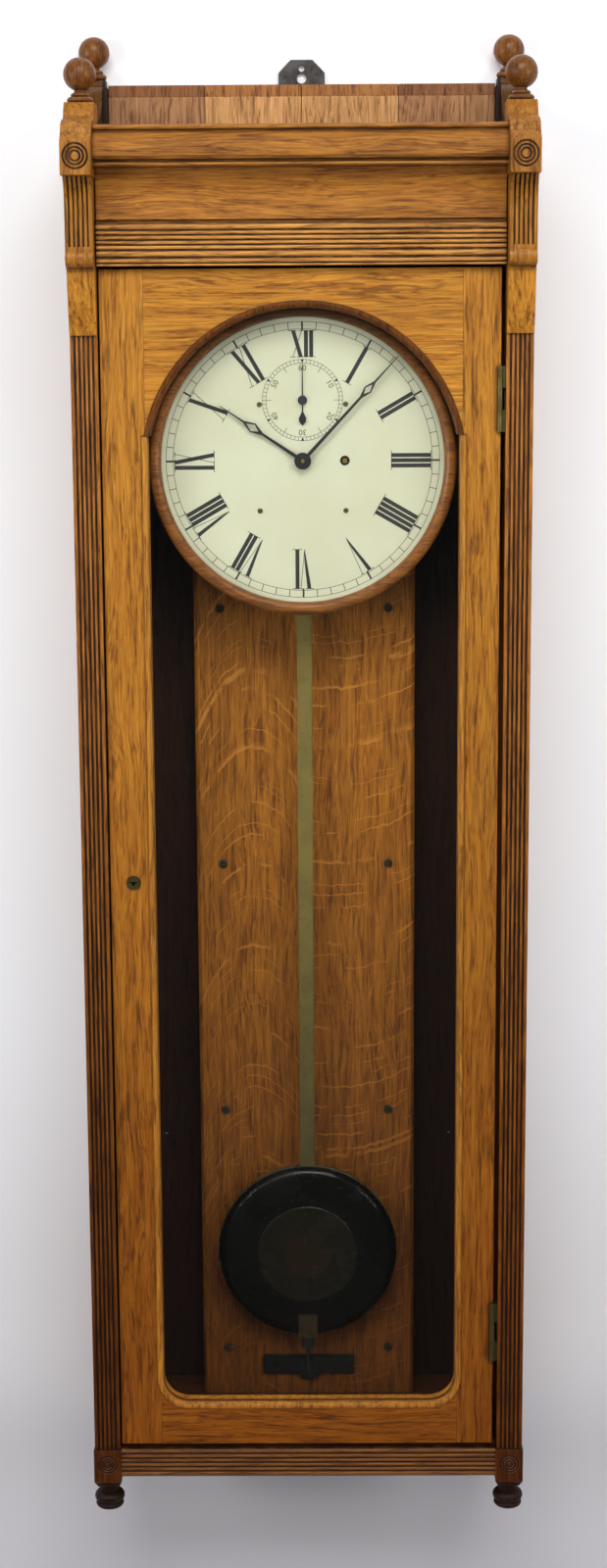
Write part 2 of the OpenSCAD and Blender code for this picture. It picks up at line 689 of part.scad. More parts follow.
// Groove outline shared by the pulleys
module pulley_rim(r, t) difference() {
    rect(0, -t / 2, r + 3.5, t / 2);
    translate([r + 3.5, 0]) circle(r = 3, $fn = 32);
    rect(r, -cable_d / 2 - 0.3, r + 5, cable_d / 2 + 0.3);
}
module top_pulley() color("goldenrod") at_top_pulley() rotate([90, 0, 0]) difference() {
    rotate_extrude($fn = 96) pulley_rim(top_pulley_r - cable_d / 2 - near, pulley_t);
    cylinder(r = 3 + run, h = 20, center = true);
    for (a = [0:72:288]) rotate([0, 0, a]) translate([top_pulley_r * 0.55, 0, -10])
        cylinder(r = top_pulley_r * 0.24, h = 20);
}

// Hinges: the case leaf has the outer knuckles, the door leaf the middle one and the pin
module knuckle(z, z0, z1) translate([hinge_x, -hinge_d, z + z0]) cylinder(r = hinge_r, h = z1 - z0);
module leaf(x0, x1, z, z0, z1) box(x0, x1, z + z0, z + z1, door_back + 3, hinge_d);
module case_hinge_leaves() color("darkkhaki") for (z = hinge_z) difference() {
    union() {
        leaf(post_in - leaf_t, post_in, z, -hinge_h / 2, hinge_h / 2);
        for (s = [[-hinge_h / 2, -hinge_h / 6], [hinge_h / 6, hinge_h / 2]]) {
            knuckle(z, s[0], s[1]);
            box(hinge_x, post_in, z + s[0], z + s[1], hinge_d - 1.2, hinge_d);
        }
    }
    translate([hinge_x, -hinge_d, z - hinge_h / 2 - cut]) cylinder(r = 1.2, h = hinge_h + 2 * cut);
    box(hinge_x - 4, post_in + cut, z - hinge_h / 6, z + hinge_h / 6, door_front + 0.3, hinge_d + 4);
}
module door_hinge_leaves() color("darkkhaki") for (z = hinge_z) {
    leaf(door_right, door_right + leaf_t, z, -hinge_h / 6 + 0.3, hinge_h / 6 - 0.3);
    box(door_right, door_right + leaf_t, z - hinge_h / 2, z + hinge_h / 2, door_back + 3, door_front - 3);
    knuckle(z, -hinge_h / 6 + 0.3, hinge_h / 6 - 0.3);
    translate([hinge_x, -hinge_d, z - hinge_h / 2 - 1]) cylinder(r = 1.15, h = hinge_h + 2);
}

// Outline of the glazed opening, grown outwards by g; its straight sides run up past the arch's centre
module opening(g) translate([opening_x, 0]) {
    r = opening_r + g;
    c = corner_r;
    low = opening_bottom - g;
    translate([0, arch_z]) circle(r = r, $fn = 128);
    rect(-r, opening_bottom + c, r, notch_z);
    rect(-opening_r + c, low, opening_r - c, opening_bottom + c + 1);
    for (s = [-1, 1]) translate([s * (opening_r - c), opening_bottom + c]) circle(r = c + g);
}

// Depths of the glass and of the moulding in front of it
glass_back = door_back + 11.5;
glass_front = glass_back + glass_t;
bead_front = door_front + 1.5;
bead_round = 4.6;
bead_back = bead_front - bead_round - 0.8;

module frame_piece(x0, x1, z0, z1) difference() {
    box(x0, x1, z0, z1, door_back, door_front);
    deep(door_back - cut, door_front + cut) opening(0);
    deep(door_back - cut, glass_front) opening(5);
    deep(bead_back, door_front + cut) opening(bead_w);
}
module door_stile_left() color("peru") difference() {
    frame_piece(door_left, joint_left, door_bottom, door_top);
    box(door_left - cut, lock_edge + 0.2, lock_z - 24, lock_z + 24, door_back + 3, door_back + 15);
    bar(lock_x, lock_z, lock_d / 2 + 0.3, door_back + 14, door_front + cut);
}
module door_stile_right() color("peru") frame_piece(joint_right, door_right, door_bottom, door_top);
module door_top_rail() color("peru") frame_piece(joint_left, joint_right, dial_z, door_top);
module door_bottom_rail() color("peru")
    frame_piece(joint_left, joint_right, door_bottom, opening_bottom + corner_r);

// Section of the moulding, in distance from the opening's edge and depth: a quarter round and a fillet
module bead() {
    translate([bead_round, bead_front - bead_round]) intersection() {
        circle(r = bead_round);
        rect(-bead_round, 0, 0, bead_round);
    }
    rect(0, bead_back, bead_round, bead_front - bead_round);
    rect(bead_round, bead_back, bead_w - 1.2, bead_front);
    rect(bead_w - 1.2, bead_back, bead_w, bead_front - 1.3);
}
module bead_corner(s) intersection() {
    turned(s * (opening_r - corner_r), opening_bottom + corner_r) translate([corner_r, 0]) bead();
    box(min(s * (opening_r - corner_r), s * (opening_r + bead_w + cut)),
        max(s * (opening_r - corner_r), s * (opening_r + bead_w + cut)),
        opening_bottom - bead_w - cut, opening_bottom + corner_r, bead_back - cut, bead_front + cut);
}
module door_moulding() color("saddlebrown") {
    reach = opening_r + bead_w + cut;
    translate([opening_x, 0, 0]) {
        difference() {
            turned(0, arch_z) translate([opening_r, 0]) bead();
            box(-reach, reach, arch_z - reach, notch_z, bead_back - cut, bead_front + cut);
        }
        for (s = [0, 1]) translate([0, 0, opening_bottom + corner_r])
            linear_extrude(notch_z - opening_bottom - corner_r)
                mirror([s, 0]) mirror([0, 1]) translate([opening_r, 0]) bead();
        for (s = [-1, 1]) bead_corner(s);
        along(corner_r - opening_r, opening_r - corner_r) translate([0, opening_bottom]) rotate(-90) bead();
    }
    deep(door_back, glass_back) difference() {
        opening(5);
        opening(0);
    }
}
module door_glass() color("lightblue", 0.4) deep(glass_back, glass_front) opening(4.7);

// Lock in the left stile, its bolt pointing at the post
module door_lock() color("darkkhaki") difference() {
    union() {
        box(door_left, lock_edge, lock_z - 23.8, lock_z + 23.8, door_back + 3.2, door_back + 14.8);
        bar(lock_x, lock_z, lock_d / 2, door_back + 14, door_front + 2);
    }
    bar(lock_x, lock_z - 1.5, 1.6, door_back + 13, door_front + 3);
    box(lock_x - 4.5, lock_x + 4.5, lock_z - 0.2, lock_z + 1.2, door_back + 13, door_front + 3);
    box(door_left - cut, door_left + bolt_l + 2, lock_z - 6.1, lock_z + 6.1, door_back + 5.9, door_back + 12.1);
}
module lock_bolt() color("goldenrod")
    box(door_left + 0.3, door_left + bolt_l, lock_z - 6, lock_z + 6, door_back + 6, door_back + 12);

// Great wheel, loose on the drum's arbor, with its click
great_back = train_front - 11;
module great_wheel() color("goldenrod") {
    wheel(winding_x, dial_z, 96, great_m, 0, great_back, great_back + 3.5, 3.5 + run, 5);
    bar(winding_x, dial_z + 17, 1.5, great_back - 2.4, great_back + 0.5);
    translate([winding_x, 0, dial_z]) deep(great_back - 2.2, great_back - 0.4)
        polygon([[-1.8, 19], [1.8, 19.4], [8.8, 9], [8, 8.2], [-1.8, 15.5]]);
}

// Winding drum with its arbor, ratchet and square
module winding_drum() color("darkgoldenrod") {
    turned(winding_x, dial_z) union() {
        rect(0, drum_back, drum_r - cable_d / 2, drum_front);
        rect(0, drum_back, drum_r + 2, drum_back + 1.5);
        rect(0, drum_front - 1.5, drum_r + 2, drum_front);
        for (d = [drum_back + 1.5 + cable_d / 2:cable_d:drum_front - 1.5 - cable_d / 2])
            translate([drum_r - cable_d / 2, d]) circle(d = cable_d, $fn = 16);
        rect(0, train_back + 0.5, 3.5, front_plate_d + 1);
        rect(0, back_plate_d, pivot_r, train_back + 1);
    }
    translate([winding_x, 0, dial_z]) deep(drum_front, great_back - 0.4)
        polygon([for (a = [0:15:345]) each [
            [9 * sin(a), 9 * cos(a)],
            [11 * sin(a + 13), 11 * cos(a + 13)],
        ]]);
    box(winding_x - 2.3, winding_x + 2.3, dial_z - 2.3, dial_z + 2.3, front_plate_d, dial_back + 0.6);
}

// Centre arbor with its pinion, wheel and cannon
centre_back = train_front - 6.5;
module centre_wheel() color("goldenrod") {
    difference() {
        union() {
            bar(0, dial_z, 2, train_back + 0.5, minute_hand_d + 3);
            bar(0, dial_z, pivot_r, back_plate_d, train_back + 1);
        }
        box(-2.2, 2.2, dial_z - 0.4, dial_z + 0.4, minute_hand_d + 2.2, minute_hand_d + 4);
    }
    pinion(0, dial_z, 8, great_m, mesh_turn(270, 96, 0, 8), great_back - 1, centre_back);
    wheel(0, dial_z, 80, centre_m, 0, centre_back, centre_back + 2, 1.9, 5);
    pinion(0, dial_z, 12, cannon_m, 0, front_plate_d + 1, front_plate_d + 3.2);
    bar(0, dial_z, 2.9, front_plate_d + 3, minute_hand_d);
}

// Third arbor
third_way = atan2(third_x, third_rise);
third_turn = mesh_turn(third_way, 80, 0, 10);
third_back = train_back + 7;
module third_wheel() color("goldenrod") {
    arbor(third_x, dial_z + third_rise, 1.8);
    pinion(third_x, dial_z + third_rise, 10, centre_m, third_turn, centre_back - 1, centre_back + 3);
    wheel(third_x, dial_z + third_rise, 75, third_m, 0, third_back, third_back + 2, 1.7, 5);
}

// Escape arbor, which also carries the seconds hand
escape_way = atan2(-third_x, seconds_rise - third_rise);
escape_turn = mesh_turn(escape_way, 75, 0, 10);
escape_back = train_back + 13;
module escape_wheel() color("goldenrod") {
    z = dial_z + seconds_rise;
    bar(0, z, 1.5, train_back + 0.5, front_plate_d);
    bar(0, z, pivot_r, back_plate_d, train_back + 1);
    bar(0, z, 1.2, front_plate_d - 0.5, dial_face + 2);
    pinion(0, z, 10, third_m, escape_turn, third_back - 1, third_back + 3);
    translate([0, 0, z]) deep(escape_back, escape_back + 2) difference() {
        polygon([for (i = [0:29]) each [
            [(escape_r - 4) * sin(i * 12), (escape_r - 4) * cos(i * 12)],
            [escape_r * sin(i * 12 + 1), escape_r * cos(i * 12 + 1)],
            [escape_r * sin(i * 12 + 2), escape_r * cos(i * 12 + 2)],
            [(escape_r - 4) * sin(i * 12 + 7), (escape_r - 4) * cos(i * 12 + 7)],
        ]]);
        for (a = [0:90:270]) rotate(a + 45) translate([escape_r * 0.48, 0]) circle(r = escape_r * 0.24);
    }
}

// Motion work under the dial
module minute_wheel() color("goldenrod") difference() {
    z = dial_z - motion_a;
    union() {
        wheel(0, z, 48, cannon_m, mesh_turn(180, 12, 0, 48), front_plate_d + 1, front_plate_d + 3, 1.4, 4);
        pinion(0, z, 12, hour_m, 0, front_plate_d + 2.9, front_plate_d + 7);
    }
    bar(0, z, 1.5 + run, front_plate_d, front_plate_d + 8);
}
module hour_wheel() color("goldenrod") difference() {
    union() {
        wheel(0, dial_z, 36, hour_m, mesh_turn(0, 12, 0, 36), front_plate_d + 4.5, front_plate_d + 6.5, 3, 4);
        bar(0, dial_z, 4.6, front_plate_d + 4.5, hour_hand_d - 0.1);
    }
    bar(0, dial_z, 2.9 + run, front_plate_d + 3, hour_hand_d + cut);
}

// Hand with an open diamond, pointing up: length, diamond centre, its length and half width, boss and bore
module hand_outline(l, at, long, half, root, bore) {
    difference() {
        union() {
            circle(r = root);
            polygon([[-2, 1], [-1.3, at - long / 2], [-half, at], [-1.1, at + long / 2], [-0.4, l], [0.4, l],
                [1.1, at + long / 2], [half, at], [1.3, at - long / 2], [2, 1]]);
        }
        polygon([[0, at - long / 2 + 5], [-half + 1.5, at], [0, at + long / 2 - 4], [half - 1.5, at]]);
        circle(r = bore);
    }
}
module hour_hand() color("black") {
    translate([0, 0, dial_z]) deep(hour_hand_d, hour_hand_d + 1.2) rotate(-hour_turn)
        hand_outline(hour_l, hour_l * 0.6, 24, 5.5, 8.5, 2.9 + run);
    turned(0, dial_z) rect(2.9 + run, hour_hand_d - 0.1, 8, hour_hand_d + 1.5);
}
module minute_hand() color("black") {
    translate([0, 0, dial_z]) deep(minute_hand_d, minute_hand_d + 1.2) rotate(-minute_turn)
        hand_outline(minute_l, minute_l * 0.68, 22, 4.6, 9, 2 + run);
    turned(0, dial_z) rect(2 + run, minute_hand_d + 1.1, 5, minute_hand_d + 2.6);
}
module seconds_hand() color("black") difference() {
    translate([0, 0, dial_z + seconds_rise]) {
        deep(dial_face + 1.2, dial_face + 2) polygon([[-0.8, 0], [-0.35, second_l], [0.35, second_l], [0.8, 0],
            [0.7, -12], [4, -19], [3.4, -23], [0, -27], [-3.4, -23], [-4, -19], [-0.7, -12]]);
        deep(dial_face + 1.2, dial_face + 2.6) circle(r = 5);
    }
    bar(0, dial_z + seconds_rise, 1.2 + run, dial_face, dial_face + 2);
}

// Pallets, their arbor, and the crutch whose fork takes the rod
crutch_l = 122;
module pallets() color("silver") {
    z = dial_z + pallet_z;
    tip = escape_r + 1.3;
    reach = escape_r * 0.72;
    bar(0, z, 1.8, back_plate_d - 6, train_front - 0.5);
    bar(0, z, pivot_r, train_front - 1, front_plate_d);
    translate([0, 0, z]) deep(escape_back - 1, escape_back + 3) difference() {
        union() {
            circle(r = 4.5);
            for (s = [-1, 1]) polygon([[0, 4], [s * (reach + 4), -pallet_rise + tip * 0.78],
                [s * (reach + 1), -pallet_rise + tip * 0.72], [s * reach, -pallet_rise + tip * 0.76],
                [s * (reach - 2), -pallet_rise + tip * 0.92], [0, -3.5]]);
        }
        translate([0, -pallet_rise]) circle(r = tip);
        circle(r = 1.7);
    }
    box(-3, 3, z - crutch_l, z + 3, back_plate_d - 5, back_plate_d - 2.5);
    for (s = [-1, 1]) box(s * (rod_w / 2 + 1.4) - 1, s * (rod_w / 2 + 1.4) + 1, z - crutch_l, z - crutch_l + 8,
        pend_d - rod_t / 2, back_plate_d - 2.5);
    box(-rod_w / 2 - 2, rod_w / 2 + 2, z - crutch_l, z - crutch_l + 8, back_plate_d - 5, back_plate_d - 2.5);
}

// Pendulum rod, with its threaded end, nut and tip
bob_z = dial_z + pallet_z - pendulum_l;
rod_low = bob_z - bob_d * 0.193;
module pendulum_rod() color("olive") {
    top = dial_z + pallet_z - 10;
    z = bob_z - bob_d / 2;
    difference() {
        box(-rod_w / 2, rod_w / 2, rod_low, top, pend_d - rod_t / 2, pend_d + rod_t / 2);
        box(-spring_w / 2 - 0.8, spring_w / 2 + 0.8, top - 8, top + cut, pend_d - 0.5, pend_d + 0.5);
    }
    translate([0, -pend_d, z - 26]) cylinder(r = 2.5, h = bob_d / 2 - 10);
    translate([0, -pend_d, z - 15]) cylinder(r = 8, h = 14.6, $fn = 48);
    translate([0, -pend_d, z - 49]) cylinder(r = 1.2, h = 24);
}

// Bob, a heavy lens with a raised middle, and the plate at its lower edge
module pendulum_bob() color([0.1, 0.1, 0.09]) difference() {
    union() {
        turned(0, bob_z) polygon([[0, pend_d - bob_t / 2], [bob_d * 0.28, pend_d - bob_t / 2],
            for (t = [0:15:90]) [bob_d * (0.44 + 0.06 * sin(t)), pend_d - bob_t * 0.36 * cos(t)],
            for (t = [15:15:90]) [bob_d * (0.5 - 0.06 * (1 - cos(t))), pend_d + bob_t * 0.36 * sin(t)],
            [bob_d * 0.28, pend_d + bob_t * 0.47], [bob_d * 0.275, pend_d + bob_t * 0.5],
            [0, pend_d + bob_t * 0.5]]);
        box(-11, 11, bob_z - bob_d / 2 + 1.5, bob_z - bob_d / 2 + 29, pend_d + 3, pend_d + bob_t / 2 + 0.8);
    }
    box(-rod_w / 2 - 0.2, rod_w / 2 + 0.2, rod_low - 0.2, bob_z + bob_d,
        pend_d - rod_t / 2 - 0.2, pend_d + rod_t / 2 + 0.2);
    box(-2.7, 2.7, bob_z - bob_d, rod_low, pend_d - 2.7, pend_d + 2.7);
}

// Iron weight in its chute, its strap and the strap's pulley
module weight() color("dimgray") {
    box(-weight_w / 2, weight_w / 2, weight_top - weight_h, weight_top,
        chute_mid - weight_t / 2, chute_mid + weight_t / 2);
    for (s = [-1, 1])
        box(-7, 7, weight_top - 1, weight_pulley_z + 7, chute_mid + s * 6 - 1.5, chute_mid + s * 6 + 1.5);
    bar(0, weight_pulley_z, 2.5, chute_mid - 7, chute_mid + 7);
}
module weight_pulley() color("goldenrod") difference() {
    turned(0, weight_pulley_z) translate([0, chute_mid]) pulley_rim(weight_pulley_r - cable_d / 2 - near, 7);
    bar(0, weight_pulley_z, 2.5 + run, chute_mid - 10, chute_mid + 10);
}

// Steel cable: a straight run enters a bend a little, and is a little thinner than the bend's tube
cable_in = 0.05;
module straight_run(x, d, z0, z1)
    translate([x, -d, z0]) cylinder(r = cable_d / 2 - 0.01, h = z1 - z0, $fn = 16);
module half_bend(r) rotate_extrude(angle = 180, $fn = 64) translate([r, 0]) circle(d = cable_d, $fn = 16);

// Both runs of the weight and the loop under its pulley
module cable_runs() color("silver") {
    for (s = [-1, 1])
        straight_run(s * weight_pulley_r, chute_mid, weight_pulley_z - cable_in, top_pulley_z - cable_in);
    translate([0, -chute_mid, weight_pulley_z]) rotate([90, 180, 0]) half_bend(weight_pulley_r);
}

// From the drum up and over the large pulley
module cable_lead() color("silver") {
    straight_run(drum_x, lead_d, dial_z, top_pulley_z + cable_in);
    at_top_pulley() rotate([90, 0, 0]) half_bend(top_pulley_r);
}

back_planks();
hanger_plate();
hanger_screws();
side_left();
side_right();
post_left();
post_right();
bracket_left();
bracket_right();
base_blocks();
bun_feet();
ball_finials();
crown_moulding();
frieze();
upper_reeded_rail();
lower_reeded_rail();
top_board();
bottom_board();
chute_rails();
pendulum_board();
board_bolts();
dial_ring();
dial_board();
dial_plate();
dial_screws();
front_plate();
back_plate();
plate_pillars();
movement_bracket();
suspension_spring();
beat_scale();
pulley_block();
case_hinge_leaves();
door_stile_left();
door_stile_right();
door_top_rail();
door_bottom_rail();
door_moulding();
door_glass();
door_hinge_leaves();
door_lock();
lock_bolt();
great_wheel();
winding_drum();
centre_wheel();
third_wheel();
escape_wheel();
minute_wheel();
hour_wheel();
hour_hand();
minute_hand();
seconds_hand();
pallets();
pendulum_rod();
pendulum_bob();
weight();
weight_pulley();
top_pulley();
cable_runs();
cable_lead();
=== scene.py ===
"""Regulator wall clock: finishes, dial print, small fittings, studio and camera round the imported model."""

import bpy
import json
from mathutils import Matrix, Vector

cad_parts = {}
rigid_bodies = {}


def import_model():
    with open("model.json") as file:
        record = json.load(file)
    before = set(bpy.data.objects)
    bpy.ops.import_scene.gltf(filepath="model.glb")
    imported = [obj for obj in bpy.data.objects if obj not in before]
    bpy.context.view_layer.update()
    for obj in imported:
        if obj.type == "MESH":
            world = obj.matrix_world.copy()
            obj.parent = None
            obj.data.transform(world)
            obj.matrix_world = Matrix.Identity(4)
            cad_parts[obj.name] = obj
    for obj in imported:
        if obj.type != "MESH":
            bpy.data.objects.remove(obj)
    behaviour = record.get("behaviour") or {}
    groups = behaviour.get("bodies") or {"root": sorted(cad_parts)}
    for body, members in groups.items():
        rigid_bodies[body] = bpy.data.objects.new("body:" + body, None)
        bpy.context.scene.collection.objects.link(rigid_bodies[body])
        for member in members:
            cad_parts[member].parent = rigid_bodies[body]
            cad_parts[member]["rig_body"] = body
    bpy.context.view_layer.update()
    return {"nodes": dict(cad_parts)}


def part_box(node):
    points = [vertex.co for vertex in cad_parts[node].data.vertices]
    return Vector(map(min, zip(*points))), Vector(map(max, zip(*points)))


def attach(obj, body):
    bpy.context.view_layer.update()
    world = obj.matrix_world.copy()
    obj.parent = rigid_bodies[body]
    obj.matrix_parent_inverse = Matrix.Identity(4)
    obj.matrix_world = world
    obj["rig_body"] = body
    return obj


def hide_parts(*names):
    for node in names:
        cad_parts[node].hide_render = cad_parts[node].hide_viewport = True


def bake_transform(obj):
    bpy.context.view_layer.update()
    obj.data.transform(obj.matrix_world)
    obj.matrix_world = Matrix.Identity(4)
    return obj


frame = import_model()

import json
import logging
import math
from collections.abc import Sequence
from dataclasses import dataclass, field, replace
from enum import Enum

import bmesh
import bpy
from mathutils import Matrix, Vector

LOG = logging.getLogger("regulator_clock")
MM = 0.001

NOWHERE = 9.0
WHITE = (1.0, 1.0, 1.0, 1.0)

Colour = tuple[float, float, float, float]
Point = tuple[float, float]
Outline = list[Point]
Socket = bpy.types.NodeSocket
Sockets = bpy.types.NodeOutputs
Material = bpy.types.Material
Shape = bmesh.types.BMesh
Piece = bpy.types.Object


def shade(red: int, green: int, blue: int) -> Colour:
    """Turns a colour as a screen shows it into the linear colour that a shader takes.

    Args:
        red: Red, 0 to 255.
        green: Green, 0 to 255.
        blue: Blue, 0 to 255.

    Returns:
        The linear colour, opaque.
    """
    linear = [((c / 255 + 0.055) / 1.055) ** 2.4 if c > 10 else c / 255 / 12.92 for c in (red, green, blue)]
    return (linear[0], linear[1], linear[2], 1.0)


class Grain(Enum):
    """The row axis that a board's grain runs along, and the axes across its face and through it."""

    ACROSS = ("X", "Z", "Y")
    UP = ("Z", "X", "Y")


class Graph:
    """Short calls that make and join the nodes of one tree."""

    def __init__(self, tree: bpy.types.NodeTree) -> None:
        """Keeps the tree that the nodes go into."""
        self.tree = tree

    def feed(self, socket: Socket, value: object) -> None:
        """Joins a socket to another, or gives it a value of its own."""
        if isinstance(value, Socket):
            self.tree.links.new(value, socket)
        else:
            socket.default_value = value

    def add(self, kind: str, inputs: dict[int | str, object] | None = None, **settings: object) -> bpy.types.Node:
        """Makes one node.

        Args:
            kind: The node's class name after ShaderNode, or the whole name of a group's own node.
            inputs: Values or sockets for its inputs, by name or number.
            settings: The node's properties.

        Returns:
            The node.
        """
        node = self.tree.nodes.new(kind if kind.startswith("NodeGroup") else "ShaderNode" + kind)
        for name, value in settings.items():
            setattr(node, name, value)
        for key, value in (inputs or {}).items():
            self.feed(node.inputs[key], value)
        return node

    def math(self, operation: str, first: object, second: object = 0.0, clamp: bool = False) -> Socket:
        """Returns the result of a Math node."""
        return self.add("Math", {0: first, 1: second}, operation=operation, use_clamp=clamp).outputs[0]

    def times(self, first: object, second: object) -> Socket:
        """Returns the product of two values."""
        return self.math("MULTIPLY", first, second)

    def plus(self, first: object, second: object) -> Socket:
        """Returns the sum of two values."""
        return self.math("ADD", first, second)

    def minus(self, first: object, second: object) -> Socket:
        """Returns the difference of two values."""
        return self.math("SUBTRACT", first, second)

    def band(self, value: object, low: float, high: float, start: float = 0.0, stop: float = 1.0) -> Socket:
        """Eases a value from start to stop as it goes from low to high.

        Args:
            value: The value.
            low: Where the change begins.
            high: Where it ends.
            start: The result up to low.
            stop: The result past high.

        Returns:
            The result's socket.
        """
        limits = {0: value, 1: low, 2: high, 3: start, 4: stop}
        return self.add("MapRange", limits, interpolation_type="SMOOTHSTEP").outputs[0]

    def noise(self, position: object, patches: Sequence[float] | None = None, detail: float = 2.0) -> Socket:
        """Makes noise between about 0 and 1.

        Args:
            position: The position.
            patches: Patches per unit along each axis, or None for one along each.
            detail: How many times finer noise is added.

        Returns:
            The noise's socket.
        """
        if patches:
            position = self.add("VectorMath", {0: position, 1: tuple(patches)}, operation="MULTIPLY").outputs[0]
        settings = {"Vector": position, "Scale": 1.0, "Detail": detail, "Roughness": 0.55}
        return self.add("TexNoise", settings).outputs["Fac"]

    def mix(self, share: object, first: object, second: object, blend: str = "MIX") -> Socket:
        """Returns two colours mixed by a share."""
        node = self.add("Mix", {0: share, 6: first, 7: second}, data_type="RGBA", blend_type=blend, clamp_factor=True)
        return node.outputs[2]


class Effect:
    """A shader node group that is built once and placed in many materials.

    Attributes:
        title: The group's name.
        inputs: Its inputs, as name and socket type.
        outputs: Its outputs, all single values.
    """

    title: str
    inputs: dict[str, str]
    outputs: tuple[str, ...]

    def __init__(self) -> None:
        """Makes the group with its sockets and lets build() fill it."""
        self.tree = bpy.data.node_groups.new(self.title, "ShaderNodeTree")
        for name, kind in self.inputs.items():
            self.tree.interface.new_socket(name=name, in_out="INPUT", socket_type="NodeSocket" + kind)
        for name in self.outputs:
            self.tree.interface.new_socket(name=name, in_out="OUTPUT", socket_type="NodeSocketFloat")
        graph = Graph(self.tree)
        results = self.build(graph, graph.add("NodeGroupInput").outputs)
        graph.add("NodeGroupOutput", dict(zip(self.outputs, results)))

    def build(self, g: Graph, given: Sockets) -> tuple[Socket, ...]:
        """Makes the group's nodes and returns one socket for each output."""
        raise NotImplementedError

    def place(self, g: Graph, values: dict[str, object]) -> Sockets:
        """Places the group in a material.

        Args:
            g: The material's graph.
            values: Values or sockets for the group's inputs.

        Returns:
            The group's outputs.
        """
        node = g.add("Group", node_tree=self.tree)
        for name, value in values.items():
            g.feed(node.inputs[name], value)
        return node.outputs


class OakFigure(Effect):
    """Streaks, pores and ray flecks of oak, for a position whose first axis runs along the grain."""

    title = "oak_figure"
    inputs = {"Position": "Vector"} | dict.fromkeys(("Seed", "Board", "Streak", "Bow", "Bow Centre"), "Float")
    outputs = ("Figure", "Pores", "Rays", "Tone", "Height")

    def build(self, g: Graph, given: Sockets) -> tuple[Socket, ...]:
        """Makes streaks and pores drawn out along the grain, and ray flecks across it.

        Args:
            g: The group's graph.
            given: The group's inputs.

        Returns:
            Figure, pores, rays, tone and height.
        """
        along, across, _ = g.add("SeparateXYZ", {0: given["Position"]}).outputs
        board = g.math("FLOOR", g.math("DIVIDE", across, given["Board"]))
        shift = g.plus(g.times(board, 3.7), given["Seed"])
        chance = g.add("TexWhiteNoise", {"W": shift}, noise_dimensions="1D").outputs["Value"]
        moved = g.add("CombineXYZ", {0: shift, 1: g.times(shift, 0.61), 2: g.times(shift, 0.37)}).outputs[0]
        straight = g.add("VectorMath", {0: given["Position"], 1: moved}, operation="ADD").outputs[0]

        sway = g.times(g.minus(g.noise(straight, (5.0, 16.0, 16.0), 2.0), 0.5), 0.022)
        swayed = g.add("CombineXYZ", {0: 0.0, 1: sway, 2: sway}).outputs[0]
        place = g.add("VectorMath", {0: straight, 1: swayed}, operation="ADD").outputs[0]
        thin = g.add("VectorMath", {0: place, "Scale": given["Streak"]}, operation="SCALE").outputs[0]
        bands = g.noise(thin, (0.075, 1.0, 1.0), 3.0)
        threads = g.noise(thin, (0.17, 4.2, 4.2), 2.0)
        figure = g.plus(g.times(g.band(bands, 0.32, 0.68), 0.5), g.times(g.band(threads, 0.36, 0.64), 0.5))

        short = g.band(g.noise(place, (75.0, 900.0, 900.0), 1.0), 0.55, 0.66)
        long = g.band(g.noise(place, (20.0, 330.0, 330.0), 2.0), 0.54, 0.62)
        ring_edge = g.math("ABSOLUTE", g.minus(g.noise(place, (7.0, 150.0, 150.0), 1.0), 0.5))
        lines = g.band(ring_edge, 0.0, 0.045, 1.0, 0.0)
        rows = g.band(bands, 0.38, 0.60, 1.0, 0.4)
        dashes = g.times(g.plus(g.times(short, 0.5), g.times(long, 0.7)), rows)
        pores = g.math("ADD", dashes, g.times(lines, 0.5), clamp=True)

        off = g.minus(across, given["Bow Centre"])
        bend = g.times(g.times(off, off), given["Bow"])
        drift = g.times(g.minus(g.noise(straight, (30.0, 75.0, 20.0), 2.0), 0.5), 0.010)
        path = g.plus(g.plus(along, bend), drift)
        uneven = g.add("TexNoise", {"W": g.times(path, 24.0), "Scale": 1.0, "Detail": 1.0}, noise_dimensions="1D")
        spot = g.math("FRACT", g.plus(g.times(path, 46.0), g.times(uneven.outputs["Fac"], 3.0)))
        flecks = g.times(g.band(spot, 0.0, 0.035), g.band(spot, 0.05, 0.16, 1.0, 0.0))
        gaps = g.band(g.noise(straight, (34.0, 24.0, 9.0), 2.0), 0.44, 0.56)
        rays = g.times(flecks, gaps)

        patches = g.noise(straight, (2.2, 13.0, 13.0), 3.0)
        tone = g.plus(g.times(patches, 0.75), g.times(chance, 0.25))
        height = g.minus(g.times(rays, 0.25), pores)
        return figure, pores, rays, tone, height


class SurfaceWear(Effect):
    """Grime with painted shade in corners and grooves, and rubbed outer edges that are also a painted highlight."""

    title = "wear_and_crevice_shade"
    inputs = {"Position": "Vector", "Groove": "Float", "Edge": "Float"}
    outputs = ("Dirt", "Rub")

    def build(self, g: Graph, given: Sockets) -> tuple[Socket, ...]:
        """Measures how closed in a point is from outside and from inside.

        Args:
            g: The group's graph.
            given: The group's inputs.

        Returns:
            The grime with painted shade, and the rubbing with painted highlight.
        """
        outside = g.add("AmbientOcclusion", {"Distance": given["Groove"]}, samples=6)
        inside = g.add("AmbientOcclusion", {"Distance": given["Edge"]}, samples=6, inside=True, only_local=True)
        patches = g.noise(given["Position"], (45.0, 45.0, 45.0), 3.0)
        # Painted shade: darker where occlusion finds corners and grooves, together with grime.
        dirt = g.band(outside.outputs["AO"], 0.40, 0.98, 1.0, 0.0)
        # Painted highlight: lighter where the inside occlusion finds outer edges, together with real rubbing.
        rub = g.times(g.band(inside.outputs["AO"], 0.35, 0.8, 1.0, 0.0), g.band(patches, 0.42, 0.62))
        return g.times(dirt, g.band(patches, 0.2, 0.7, 0.75, 1.0)), rub


